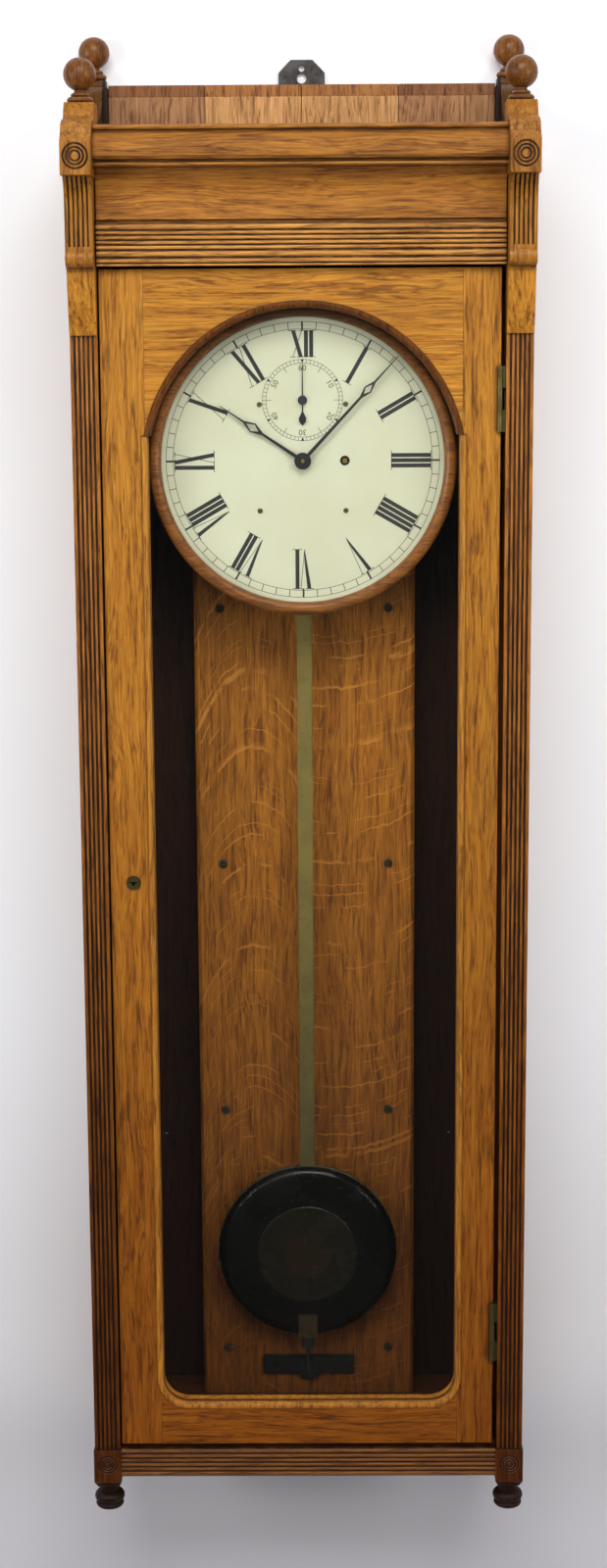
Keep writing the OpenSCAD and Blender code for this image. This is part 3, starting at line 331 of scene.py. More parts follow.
class GrooveFilling(Effect):
    """Old dark varnish and painted shade in the grooves of a moulded front face."""

    title = "groove_varnish_and_shade"
    inputs = {"Position": "Vector", "Face": "Float", "Sunk": "Float", "Top": "Float"}
    outputs = ("Filling",)

    def build(self, g: Graph, given: Sockets) -> tuple[Socket, ...]:
        """Measures how far a front face lies behind the front.

        Args:
            g: The group's graph.
            given: The group's inputs.

        Returns:
            How much old varnish and painted shade the groove gets.
        """
        place = g.add("SeparateXYZ", {0: given["Position"]}).outputs
        depth = g.math("DIVIDE", g.minus(place["Y"], given["Face"]), given["Sunk"])
        level = g.times(g.band(depth, 0.25, 1.0), g.math("LESS_THAN", place["Z"], given["Top"]))
        shallow = g.band(depth, 5.0, 6.0, 1.0, 0.0)
        normal = g.add("SeparateXYZ", {0: g.add("NewGeometry").outputs["Normal"]}).outputs["X"]
        facing = g.math("LESS_THAN", g.math("ABSOLUTE", normal), 0.985)
        patches = g.noise(given["Position"], (60.0, 60.0, 22.0), 3.0)
        worn = g.band(patches, 0.25, 0.6, 0.55, 1.0)
        # Darker deep in the grooves: old varnish and painted shade.
        return (g.times(g.times(level, shallow), g.times(facing, worn)),)


class MetalPatina(Effect):
    """Cloudy tarnish and fine scratches."""

    title = "metal_patina"
    inputs = {"Position": "Vector", "Size": "Float"}
    outputs = ("Tarnish", "Scratches", "Height")

    def build(self, g: Graph, given: Sockets) -> tuple[Socket, ...]:
        """Makes cloudy patches, and scratches drawn out along one axis.

        Args:
            g: The group's graph.
            given: The group's inputs.

        Returns:
            Tarnish, scratches and height.
        """
        near = g.add("VectorMath", {0: given["Position"], "Scale": given["Size"]}, operation="SCALE").outputs[0]
        clouds = g.band(g.noise(near, detail=5.0), 0.35, 0.68)
        specks = g.band(g.noise(near, (7.0, 7.0, 7.0), 3.0), 0.58, 0.72)
        scratches = g.noise(near, (1.5, 40.0, 40.0), 2.0)
        tarnish = g.math("ADD", g.times(clouds, 0.7), g.times(specks, 0.5), clamp=True)
        return tarnish, scratches, g.plus(g.times(scratches, 0.4), g.times(specks, -0.6))


class PaintBloom(Effect):
    """Soft yellowing and small specks of an old painted face."""

    title = "paint_bloom"
    inputs = {"Position": "Vector"}
    outputs = ("Yellowing", "Specks", "Height")

    def build(self, g: Graph, given: Sockets) -> tuple[Socket, ...]:
        """Makes broad patches, rare specks and a faint ripple.

        Args:
            g: The group's graph.
            given: The group's inputs.

        Returns:
            Yellowing, specks and height.
        """
        broad = g.noise(given["Position"], (9.0, 9.0, 9.0), 4.0)
        specks = g.band(g.noise(given["Position"], (420.0, 420.0, 420.0), 2.0), 0.70, 0.80)
        ripple = g.noise(given["Position"], (260.0, 260.0, 260.0), 2.0)
        return g.band(broad, 0.3, 0.7), specks, ripple


@dataclass(frozen=True)
class Effects:
    """The shared effects, each built once."""

    oak: OakFigure = field(default_factory=OakFigure)
    wear: SurfaceWear = field(default_factory=SurfaceWear)
    filling: GrooveFilling = field(default_factory=GrooveFilling)
    patina: MetalPatina = field(default_factory=MetalPatina)
    bloom: PaintBloom = field(default_factory=PaintBloom)


def new_material(name: str) -> tuple[Material, Graph, bpy.types.Node, Socket]:
    """Starts a material with a Principled shader.

    Args:
        name: The material's name.

    Returns:
        The material, its graph, its shader and the position in metres at rest.
    """
    material = bpy.data.materials.new(name)
    material.use_nodes = True
    g = Graph(material.node_tree)
    position = g.add("TexCoord").outputs["Object"]
    return material, g, material.node_tree.nodes["Principled BSDF"], position


def set_bump(g: Graph, shader: bpy.types.Node, height: object, depth: float) -> None:
    """Gives a shader fine relief.

    Args:
        g: The material's graph.
        shader: The Principled shader.
        height: The relief's height, about 0 to 1.
        depth: How deep one unit of it is, in metres.
    """
    bump = g.add("Bump", {"Height": height, "Strength": 1.0, "Distance": depth})
    g.feed(shader.inputs["Normal"], bump.outputs["Normal"])


@dataclass(frozen=True)
class OakFinish:
    """Varnished oak: its colours, how its grain lies, its age, its painted shade and highlights, and its gloss.

    Attributes:
        name: The material's name.
        light: Colour of the pale streaks.
        dark: Colour of the dark streaks.
        pore: Colour in the pores.
        grain: Which way the grain runs.
        seed: Which part of the tree the board shows.
        board: Width of the boards that are glued side by side.
        streak: Streaks per metre across the grain.
        pores: Strength of the pores.
        dirt: Strength of the grime and painted shade in grooves.
        groove: Width of groove that gathers grime and painted shade.
        rub: Strength of the rubbed edges, which are also a painted highlight.
        rough: Roughness of the varnish.
        coat: Weight of the gloss coat.
        gloss: Level of the varnish's own reflection.
        face: Where the front of a moulded face is, in Y, or NOWHERE.
        sunk: Depth below that front at which a groove gets old varnish and painted shade.
        filled_below: Height below which grooves get old varnish and painted shade.
        foot: Height below which the painted shade towards the bottom is full.
        head: Height above which there is no painted shade.
        deep: What the full painted shade does to the colour.
    """

    name: str
    light: Colour
    dark: Colour
    pore: Colour = shade(84, 42, 12)
    grain: Grain = Grain.UP
    seed: float = 0.0
    board: float = 3.0
    streak: float = 150.0
    pores: float = 0.74
    dirt: float = 0.7
    groove: float = 0.005
    rub: float = 0.25
    rough: float = 0.42
    coat: float = 0.05
    gloss: float = 0.22
    face: float = NOWHERE
    sunk: float = 0.001
    filled_below: float = NOWHERE
    foot: float = -1.58
    head: float = -0.22
    deep: Colour = (0.5, 0.34, 0.2, 1.0)

    def bow(self, g: Graph, across: Socket) -> tuple[object, object]:
        """Returns how strongly the ray flecks bow, and the place across the board that they bow round."""
        return 0.0, 0.0

    def stained(self, g: Graph, place: Sockets, rays: Socket, colour: Socket) -> Socket:
        """Returns the colour with the marks and painted shade of this piece, if any."""
        return colour

    def build(self, effects: Effects) -> Material:
        """Returns the finished material."""
        material, g, shader, position = new_material(self.name)
        parts = g.add("SeparateXYZ", {0: position}).outputs
        lying = g.add("CombineXYZ", {i: parts[axis] for i, axis in enumerate(self.grain.value)}).outputs[0]
        bow, centre = self.bow(g, parts[self.grain.value[1]])
        oak = effects.oak.place(g, {
            "Position": lying, "Seed": self.seed, "Board": self.board, "Streak": self.streak,
            "Bow": bow, "Bow Centre": centre,
        })
        wear = effects.wear.place(g, {"Position": position, "Groove": self.groove, "Edge": 0.0016})
        colour = g.mix(oak["Figure"], self.dark, self.light)
        colour = g.mix(g.times(oak["Pores"], self.pores), colour, self.pore)
        swing = g.band(oak["Tone"], 0.25, 0.75, 0.84, 1.12)
        brightness = g.add("CombineColor", {0: swing, 1: swing, 2: swing}).outputs[0]
        colour = g.mix(1.0, colour, brightness, "MULTIPLY")
        colour = self.stained(g, parts, oak["Rays"], colour)
        # Painted shade: darker towards the bottom, for light that falls off downwards.
        height_shade = g.mix(g.band(parts["Z"], self.foot, self.head), self.deep, WHITE)
        colour = g.mix(1.0, colour, height_shade, "MULTIPLY")
        # Grime and painted shade in grooves and corners.
        colour = g.mix(g.times(wear["Dirt"], self.dirt), colour, shade(30, 14, 5))
        # Rubbed edges, lighter as real rubbing and as a painted highlight.
        colour = g.mix(g.times(wear["Rub"], self.rub), colour, shade(196, 132, 66))
        # Old varnish and painted shade in the grooves of a moulded face.
        if self.face < NOWHERE:
            groove_fill_and_shade = effects.filling.place(g, {
                "Position": position, "Face": self.face, "Sunk": self.sunk, "Top": self.filled_below,
            })
            colour = g.mix(groove_fill_and_shade["Filling"], colour, shade(38, 18, 7))
        g.feed(shader.inputs["Base Color"], colour)
        dull = g.plus(g.times(oak["Pores"], 0.18), g.times(wear["Dirt"], 0.2))
        g.feed(shader.inputs["Roughness"], g.plus(dull, self.rough))
        shader.inputs["Specular IOR Level"].default_value = self.gloss
        shader.inputs["Coat Weight"].default_value = self.coat
        shader.inputs["Coat Roughness"].default_value = 0.25
        set_bump(g, shader, oak["Height"], 0.00010)
        return material


@dataclass(frozen=True)
class RayedOakFinish(OakFinish):
    """Quarter-sawn oak in two halves, whose ray flecks arch on the left and dip on the right.

    Attributes:
        flecks: Strength of the ray flecks.
    """

    flecks: float = 0.8

    def bow(self, g: Graph, across: Socket) -> tuple[object, object]:
        """Returns how strongly the ray flecks bow, and the place across the board that they bow round."""
        right = g.math("GREATER_THAN", across, 0.0)
        strength = g.plus(g.times(right, -20.0), 17.0)
        return strength, g.plus(g.times(right, 0.090), -0.058)

    def stained(self, g: Graph, place: Sockets, rays: Socket, colour: Socket) -> Socket:
        """Returns the colour with the pale flecks."""
        return g.mix(g.times(rays, self.flecks), colour, shade(196, 128, 48))


@dataclass(frozen=True)
class Stain:
    """A darker part of a piece, for real staining and for painted shade, such as where it lines the case.

    Attributes:
        tint: What the darker part does to the colour.
        axis: The axis along which the stained part begins.
        limit: Where on that axis it begins.
        above: True where it lies above the limit.
        absolute: True where the limit holds on both sides of the middle.
        spread: Width over which it sets in.
        front: Place in Y behind which there is none.
    """

    tint: Colour
    axis: str
    limit: float
    above: bool = True
    absolute: bool = False
    spread: float = 0.0002
    front: float = NOWHERE

    def mask(self, g: Graph, place: Sockets) -> Socket:
        """Returns where the darker part lies, for a position's three parts."""
        value = g.math("ABSOLUTE", place[self.axis]) if self.absolute else place[self.axis]
        share = (0.0, 1.0) if self.above else (1.0, 0.0)
        mask = g.band(value, self.limit, self.limit + self.spread, *share)
        return g.times(mask, g.math("LESS_THAN", place["Y"], self.front))


@dataclass(frozen=True)
class StainedOakFinish(OakFinish):
    """Oak with darker parts: real staining and painted shade.

    Attributes:
        stains: The darker parts.
    """

    stains: tuple[Stain, ...] = ()

    def stained(self, g: Graph, place: Sockets, rays: Socket, colour: Socket) -> Socket:
        """Returns the colour, with each darker part, real staining and painted shade alike."""
        for darker_part in self.stains:
            colour = g.mix(darker_part.mask(g, place), colour, g.mix(1.0, colour, darker_part.tint, "MULTIPLY"))
        return colour


@dataclass(frozen=True)
class MetalFinish:
    """A metal with tarnish and fine scratches.

    Attributes:
        name: The material's name.
        base: Colour of the clean metal.
        tarnish: Colour of the tarnish.
        amount: Share of the tarnish.
        rough: Roughness of the clean metal.
        metallic: 1 for bare metal, 0 for paint.
        size: Patches per metre.
        depth: Depth of the scratches, in metres.
        dirt: Strength of the grime and painted shade in corners.
        gloss: Level of its own reflection where it is painted.
    """

    name: str
    base: Colour
    tarnish: Colour
    amount: float = 0.5
    rough: float = 0.35
    metallic: float = 1.0
    size: float = 60.0
    depth: float = 0.00003
    dirt: float = 0.5
    gloss: float = 0.5

    def marked(self, g: Graph, place: Sockets, colour: Socket) -> Socket:
        """Returns the colour with whatever else marks this piece."""
        return colour

    def build(self, effects: Effects) -> Material:
        """Returns the finished material."""
        material, g, shader, position = new_material(self.name)
        patina = effects.patina.place(g, {"Position": position, "Size": self.size})
        wear = effects.wear.place(g, {"Position": position, "Groove": 0.003, "Edge": 0.0008})
        colour = g.mix(g.times(patina["Tarnish"], self.amount), self.base, self.tarnish)
        colour = self.marked(g, g.add("SeparateXYZ", {0: position}).outputs, colour)
        # Grime and painted shade in corners, and rubbed edges lighter as real rubbing and a painted highlight.
        colour = g.mix(g.times(wear["Dirt"], self.dirt), colour, shade(24, 18, 11))
        colour = g.mix(g.times(wear["Rub"], 0.35), colour, self.base)
        g.feed(shader.inputs["Base Color"], colour)
        uneven = g.plus(g.times(patina["Tarnish"], 0.22), g.times(patina["Scratches"], 0.08))
        g.feed(shader.inputs["Roughness"], g.plus(uneven, self.rough))
        shader.inputs["Metallic"].default_value = self.metallic
        shader.inputs["Specular IOR Level"].default_value = self.gloss
        set_bump(g, shader, patina["Height"], self.depth)
        return material


@dataclass(frozen=True)
class RodFinish(MetalFinish):
    """A gilt rod that is darker towards its foot as painted shade, and black below the bob.

    Attributes:
        low: How much of its colour the painted shade leaves at its foot.
        dull_below: Height below which its painted shade is full.
        bright_above: Height above which it has no painted shade.
        tip: Height below which it is black.
    """

    low: float = 0.27
    dull_below: float = -1.30
    bright_above: float = -0.75
    tip: float = -1.441

    def marked(self, g: Graph, place: Sockets, colour: Socket) -> Socket:
        """Returns the colour, with painted shade towards its foot and black below the tip."""
        # Painted shade: the rod darkens towards its foot.
        foot = (self.low, self.low, self.low, 1.0)
        rod_height_shade = g.mix(g.band(place["Z"], self.dull_below, self.bright_above), foot, WHITE)
        colour = g.mix(1.0, colour, rod_height_shade, "MULTIPLY")
        return g.mix(g.math("LESS_THAN", place["Z"], self.tip), colour, shade(20, 18, 15))


@dataclass(frozen=True)
class BobFinish(MetalFinish):
    """A black bob with a lighter round field and boss that are a painted reflection, a lighter rim that is a rubbed
    edge and a painted highlight, and a brown tab.

    Attributes:
        centre: The bob's centre in X and Z.
        radius: The bob's radius.
        field: Inner and outer radius at which the lighter field, a painted reflection, ends.
        boss: Inner and outer radius at which the boss, also lighter as a painted reflection, ends.
        rim: How far inside the edge the lighter rim, a rubbed edge and a painted highlight, begins and ends.
        tab: The tab's half width, lowest and highest place, from the centre.
    """

    centre: Point = (0.0, 0.0)
    radius: float = 0.1
    field: Point = (0.0575, 0.0590)
    boss: Point = (0.0250, 0.0275)
    rim: Point = (0.0010, 0.0003)
    tab: tuple[float, float, float] = (0.0111, -0.1021, -0.0740)

    def marked(self, g: Graph, place: Sockets, colour: Socket) -> Socket:
        """Returns the colour with the bob's zones: painted reflection on the field and boss, a rim that is rubbed and
        a painted highlight, and the tab.
        """
        x = g.minus(place["X"], self.centre[0])
        z = g.minus(place["Z"], self.centre[1])
        away = g.math("SQRT", g.plus(g.times(x, x), g.times(z, z)))
        # Painted reflection: the field and the boss are lighter than the black.
        colour = g.mix(g.band(away, *self.field, 1.0, 0.0), colour, shade(22, 19, 12))
        colour = g.mix(g.band(away, *self.boss, 0.8, 0.0), colour, shade(29, 22, 12))
        # Rubbed edge and painted highlight: a lighter line round the rim.
        rim = g.band(away, self.radius - self.rim[0], self.radius - self.rim[1])
        colour = g.mix(rim, colour, shade(60, 56, 42))
        half, low, high = self.tab
        across = g.math("LESS_THAN", g.math("ABSOLUTE", x), half)
        tab = g.times(across, g.times(g.math("GREATER_THAN", z, low), g.math("LESS_THAN", z, high)))
        return g.mix(tab, colour, shade(40, 31, 18))


@dataclass(frozen=True)
class PaintFinish:
    """Smooth paint, yellowed a little.

    Attributes:
        name: The material's name.
        fresh: Colour of the fresh paint.
        aged: Colour of the aged paint.
        rough: Roughness of the paint.
        coat: Weight of the gloss coat.
        depth: Depth of the paint's ripple, in metres.
    """

    name: str
    fresh: Colour
    aged: Colour
    rough: float = 0.45
    coat: float = 0.1
    depth: float = 0.00002

    def build(self, effects: Effects) -> Material:
        """Returns the finished material."""
        material, g, shader, position = new_material(self.name)
        bloom = effects.bloom.place(g, {"Position": position})
        colour = g.mix(bloom["Yellowing"], self.fresh, self.aged)
        colour = g.mix(g.times(bloom["Specks"], 0.35), colour, tuple(c * 0.5 for c in self.aged[:3]) + (1.0,))
        g.feed(shader.inputs["Base Color"], colour)
        g.feed(shader.inputs["Roughness"], g.plus(g.times(bloom["Height"], 0.1), self.rough))
        shader.inputs["Coat Weight"].default_value = self.coat
        shader.inputs["Coat Roughness"].default_value = 0.15
        set_bump(g, shader, bloom["Height"], self.depth)
        return material


@dataclass(frozen=True)
class GlassFinish:
    """Clear window glass that lets light through to what is behind it."""

    name: str = "window_glass"
    tint: Colour = (0.95, 0.965, 0.95, 1.0)

    def build(self, effects: Effects) -> Material:
        """Returns the finished material."""
        material, g, shader, position = new_material(self.name)
        smears = effects.bloom.place(g, {"Position": position})
        shader.inputs["Base Color"].default_value = self.tint
        shader.inputs["Transmission Weight"].default_value = 1.0
        shader.inputs["IOR"].default_value = 1.45
        g.feed(shader.inputs["Roughness"], g.times(smears["Specks"], 0.05))
        clear = g.add("BsdfTransparent", {"Color": self.tint})
        shadow = g.add("LightPath").outputs["Is Shadow Ray"]
        joined = g.add("MixShader", {0: shadow, 1: shader.outputs[0], 2: clear.outputs[0]})
        g.feed(material.node_tree.nodes["Material Output"].inputs["Surface"], joined.outputs[0])
        return material


# In these finishes deep, foot and head set the painted shade towards the bottom, dirt and groove the grime with
# painted shade in grooves, and rub the rubbed edges with a painted highlight.
OAK = OakFinish("oak", light=shade(219, 152, 55), dark=shade(172, 107, 34))
FLUTED = OakFinish(
    "oak_fluted", light=shade(204, 132, 56), dark=shade(140, 82, 28), dirt=0.8, groove=0.006, rub=0.45, rough=0.36,
    deep=(0.28, 0.19, 0.11, 1.0)
)
TURNED = OakFinish(
    "oak_turned", light=shade(146, 92, 40), dark=shade(98, 58, 24), rough=0.36, coat=0.1, dirt=0.7, head=-0.3
)
# Darker inner boards: darker wood, and painted shade for the little light inside the case.
INNER_DARK_AND_SHADED = OakFinish("oak_inner_dark_and_shaded", light=shade(96, 60, 28), dark=shade(66, 38, 16), rough=0.5, coat=0.0)
RAYED = RayedOakFinish(
    "oak_rayed", light=shade(176, 112, 30), dark=shade(128, 72, 15), board=0.124, streak=210.0, coat=0.0,
    rough=0.5, foot=-1.52, head=-0.6, deep=(0.30, 0.24, 0.22, 1.0)
)
BRASS = MetalFinish("brass", base=shade(206, 170, 92), tarnish=shade(120, 92, 44), rough=0.28, amount=0.4)
OLD_BRASS = MetalFinish("old_brass", base=shade(124, 110, 70), tarnish=shade(58, 50, 30), rough=0.38, amount=0.7)
IRON = MetalFinish("iron", base=shade(92, 90, 88), tarnish=shade(38, 35, 33), rough=0.46, amount=0.8, depth=0.00008)
STEEL = MetalFinish("steel", base=shade(176, 176, 178), tarnish=shade(96, 92, 88), rough=0.3, amount=0.35)
GILT = RodFinish(
    "rod_gilt", base=shade(120, 104, 46), tarnish=shade(92, 78, 34), rough=0.5, metallic=0.3, amount=0.6, size=25.0
)
BOB_BLACK = BobFinish(
    "bob_black", base=shade(9, 9, 6), tarnish=shade(4, 4, 3), rough=0.16, metallic=0.0, amount=0.6, size=16.0,
    depth=0.000008, gloss=0.22
)
BLACKENED = MetalFinish(
    "blackened_iron", base=shade(16, 14, 10), tarnish=shade(9, 8, 6), rough=0.5, metallic=0.0, amount=0.7, gloss=0.2
)
BOLT_IRON = MetalFinish(
    "bolt_iron", base=shade(58, 48, 34), tarnish=shade(30, 24, 16), rough=0.42, metallic=0.5, amount=0.7
)
HAND_BLACK = PaintFinish("hand_black", fresh=shade(22, 22, 26), aged=shade(34, 33, 34), rough=0.35, coat=0.3)
DIAL_CREAM = PaintFinish("dial_cream", fresh=shade(192, 191, 166), aged=shade(186, 184, 157), rough=0.5, coat=0.05)
INK = PaintFinish("dial_ink", fresh=shade(20, 20, 22), aged=shade(34, 33, 33), rough=0.6, coat=0.0)
MINUTE_INK = replace(INK, name="minute_ink", fresh=shade(52, 52, 48), aged=shade(70, 68, 60))
FAINT_INK = PaintFinish("dial_faint_ink", fresh=shade(44, 44, 38), aged=shade(62, 60, 52), rough=0.6, coat=0.0)
GLASS = GlassFinish()


def link(piece: Piece) -> Piece:
    """Puts an object in the scene and returns it."""
    bpy.context.scene.collection.objects.link(piece)
    return piece


def mesh_piece(
    name: str, shape: Shape, material: Material, smooth_under: float = 35.0
) -> Piece:
    """Turns a shape into a piece with one material and crisp shading.

    Args:
        name: The piece's name.
        shape: The shape, which is freed.
        material: Its material.
        smooth_under: Faces that meet under this angle, in degrees, shade as one.

    Returns:
        The piece.
    """
    mesh = bpy.data.meshes.new(name)
    bmesh.ops.recalc_face_normals(shape, faces=shape.faces)
    for face in shape.faces:
        face.smooth = True
    shape.to_mesh(mesh)
    shape.free()
    mesh.set_sharp_from_angle(angle=math.radians(smooth_under))
    mesh.materials.append(material)
    return link(bpy.data.objects.new(name, mesh))


def dress(node: str, material: Material) -> None:
    """Gives a CAD node its material, with its shape as it is."""
    mesh = frame["nodes"][node].data
    mesh.materials.clear()
    mesh.materials.append(material)


def worked(node: str, material: Material, width: float) -> Piece:
    """Makes a copy of a CAD node whose sharp edges are eased, and lets it stand for the node.

    Args:
        node: The CAD node.
        material: The copy's material.
        width: Width of the eased edges, in metres.

    Returns:
        The copy.
    """
    source = frame["nodes"][node]
    shape = bmesh.new()
    shape.from_mesh(source.data)
    bmesh.ops.remove_doubles(shape, verts=shape.verts, dist=2e-6)
    sharp = [e for e in shape.edges if len(e.link_faces) == 2 and e.calc_face_angle(0.0) > math.radians(24)]
    bmesh.ops.bevel(
        shape, geom=sharp, offset=width, segments=2, profile=0.6, affect="EDGES", clamp_overlap=False
    )
    low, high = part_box(node)  # keeps a sharp corner's bevel inside the node
    for vertex in shape.verts:
        vertex.co = [min(max(value, a), b) for value, a, b in zip(vertex.co, low, high)]
    piece = mesh_piece(f"{node}_worked", shape, material, 32.0)
    piece.modifiers.new("even shading", "WEIGHTED_NORMAL").keep_sharp = True
    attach(piece, source["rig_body"])
    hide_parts(node)
    return piece


def lathe(profile: Sequence[Point], centre: Sequence[float], steps: int) -> Shape:
    """Turns an outline round an axis that points to the front.

    Args:
        profile: Points of radius and distance towards the front, in metres, from one end to the other.
        centre: The point on the axis that the distances count from.
        steps: Number of steps round.

    Returns:
        The shape.
    """
    shape = bmesh.new()
    turns = [math.tau * i / steps for i in range(steps)]
    rings = [
        [shape.verts.new(Vector((r * math.sin(t), -along, r * math.cos(t))) + Vector(centre)) for t in turns]
        for r, along in profile
    ]
    for low, high in zip(rings, rings[1:]):
        for i in range(steps):
            j = (i + 1) % steps
            shape.faces.new([low[i], low[j], high[j], high[i]])
    return shape


def add_plate(shape: Shape, outline: Sequence[Point], front: float, back: float) -> None:
    """Adds a flat plate, cut to an outline in X and Z, between two places in Y.

    Args:
        shape: The shape that the plate is added to.
        outline: The outline, in metres.
        front: The plate's front in Y.
        back: The plate's back in Y.
    """
    near = [shape.verts.new((x, front, z)) for x, z in outline]
    far = [shape.verts.new((x, back, z)) for x, z in outline]
    shape.faces.new(near)
    shape.faces.new(far)
    for i in range(len(outline)):
        j = (i + 1) % len(outline)
        shape.faces.new([near[i], near[j], far[j], far[i]])


@dataclass
class Case:
    """The oak case, with the eased edges, seed and finish of each of its boards. Places are in metres.

    Attributes:
        edge: Width of an eased edge where eased names no other.
        inside_top: Height below which the planks are inside the case, where their inner face is darker wood with
            painted shade.
        outer_planks: How far from the middle the two outer planks begin.
        plank_crest: Height above which the planks' top strip is darker.
        lining: How near the middle a side board lines the case, where it is darker wood with painted shade.
        side_crest: Height above which the side boards are darker, as dust and painted shade.
        bracket_carving: Height below which the brackets' grooves get old varnish and painted shade.
        bracket_face: Height above which the brackets are paler.
        ring_low: Height at which painted shadow starts to darken the dial ring towards its top.
        eased: Width of the eased edges, by node.
        moulded: Nodes whose front face has grooves.
    """

    effects: Effects
    edge: float = 0.8 * MM
    inside_top: float = -0.10
    outer_planks: float = 0.1066
    plank_crest: float = -0.0304
    lining: float = 0.2184
    side_crest: float = -0.085
    bracket_carving: float = -0.1002
    bracket_face: float = -0.2252
    ring_low: float = -0.35
    eased: dict[str, float] = field(default_factory=lambda: {
        "post_left": 0.3 * MM, "post_right": 0.3 * MM, "upper_reeded_rail": 0.3 * MM, "lower_reeded_rail": 0.3 * MM,
        "crown_moulding": 0.4 * MM, "frieze": 0.4 * MM, "base_blocks": 0.4 * MM,
        "bracket_left": 0.45 * MM, "bracket_right": 0.45 * MM,
    })

    moulded: tuple[str, ...] = (
        "post_left", "post_right", "upper_reeded_rail", "lower_reeded_rail", "base_blocks", "bracket_left",
        "bracket_right",
    )

    def boards(self) -> list[tuple[str, OakFinish, str]]:
        """Returns each wooden node with its finish and the record's slot."""
        rail = replace(OAK, grain=Grain.ACROSS)
        fluted_rail = replace(
            FLUTED, grain=Grain.ACROSS, light=shade(226, 160, 78), dark=shade(172, 112, 46), sunk=0.0022
        )
        low_rail = replace(fluted_rail, light=shade(246, 184, 98), dark=shade(200, 138, 64))
        planks = StainedOakFinish(
            "oak_planks", board=0.10665, light=shade(224, 174, 114), dark=shade(188, 138, 84), rough=0.5,
            head=-0.1, streak=190.0, stains=(
                # Darker wood and painted shade on the planks' inner face low in the case.
                Stain(shade(92, 76, 56), "Z", self.inside_top, above=False, front=-0.002),
                Stain(shade(202, 196, 206), "X", self.outer_planks, absolute=True),
                Stain(shade(206, 180, 138), "Z", self.plank_crest),
            )
        )
        # Darker wood and painted shade where the side boards line the case.
        inside_dark_and_shaded = Stain(shade(104, 80, 46), "X", self.lining, above=False, absolute=True)
        # Dust and painted shade at the top of the side boards.
        top_dust_and_shade = Stain(shade(128, 126, 134), "Z", self.side_crest)
        side = StainedOakFinish("oak_side", light=OAK.light, dark=OAK.dark, stains=(inside_dark_and_shaded, top_dust_and_shade))
        bracket = StainedOakFinish(
            "oak_bracket", light=OAK.light, dark=OAK.dark, dirt=0.9, sunk=0.0008, filled_below=self.bracket_carving,
            stains=(Stain(shade(224, 220, 236), "Z", self.bracket_face),)
        )
        crown = replace(rail, light=shade(194, 130, 52), dark=shade(142, 86, 32))
        blocks = replace(FLUTED, light=shade(176, 110, 46), dark=shade(116, 66, 24))
        # Painted shade: the turned foot pieces are dark, for the shade under the case.
        shaded_feet = replace(TURNED, light=shade(44, 27, 12), dark=shade(24, 14, 6), rough=0.5, coat=0.0)
        # Painted shadow: the dial ring darkens towards its top, under the door's arch.
        ring = StainedOakFinish(
            "oak_turned", light=TURNED.light, dark=TURNED.dark, grain=Grain.ACROSS, seed=19.4, rough=0.28, coat=0.1,
            stains=(Stain(shade(150, 150, 152), "Z", self.ring_low, spread=0.10),)
        )
        return [
            ("back_planks", planks, "oak_back"),
            ("side_left", replace(side, seed=1.3), "oak"),
            ("side_right", replace(side, seed=2.9), "oak"),
            ("post_left", replace(FLUTED, seed=4.1), "oak_fluted"),
            ("post_right", replace(FLUTED, seed=5.7), "oak_fluted"),
            ("bracket_left", replace(bracket, seed=6.2), "oak"),
            ("bracket_right", replace(bracket, seed=7.9), "oak"),
            ("base_blocks", replace(blocks, seed=8.3), "oak_fluted"),
            ("bun_feet", replace(shaded_feet, seed=9.1), "oak_turned"),
            ("ball_finials", replace(TURNED, seed=10.4), "oak_turned"),
            ("crown_moulding", replace(crown, seed=11.2), "oak"),
            ("frieze", replace(crown, seed=12.6), "oak"),
            ("upper_reeded_rail", replace(fluted_rail, seed=13.8), "oak_fluted"),
            ("lower_reeded_rail", replace(low_rail, seed=14.5), "oak_fluted"),
            ("top_board", replace(rail, seed=15.9), "oak"),
            ("bottom_board", replace(INNER_DARK_AND_SHADED, seed=16.3, grain=Grain.ACROSS), "oak"),
            ("chute_rails", replace(INNER_DARK_AND_SHADED, seed=17.7), "oak_back"),
            ("pendulum_board", replace(RAYED, seed=18.2), "oak_rayed"),
            ("dial_ring", ring, "oak_turned"),
            ("dial_board", replace(INNER_DARK_AND_SHADED, seed=20.8, grain=Grain.ACROSS), "oak_back"),
        ]

    def build(self) -> None:
        """Makes the boards and dresses the case's metal."""
        for node, finish, slot in self.boards():
            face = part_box(node)[0].y if node in self.moulded else OAK.face
            material = replace(finish, name=f"{finish.name}_{node}", face=face).build(self.effects)
            if slot == "oak_turned":
                dress(node, material)
            else:
                worked(node, material, self.eased.get(node, self.edge))
            LOG.info("case: %s", node)
        iron = IRON.build(self.effects)
        worked("hanger_plate", iron, 0.5 * MM)
        for node in ("movement_bracket", "pulley_block"):
            dress(node, iron)
        dress("board_bolts", BOLT_IRON.build(self.effects))
        worked("beat_scale", BLACKENED.build(self.effects), 0.3 * MM)
        dress("hanger_screws", STEEL.build(self.effects))
        dress("case_hinge_leaves", OLD_BRASS.build(self.effects))


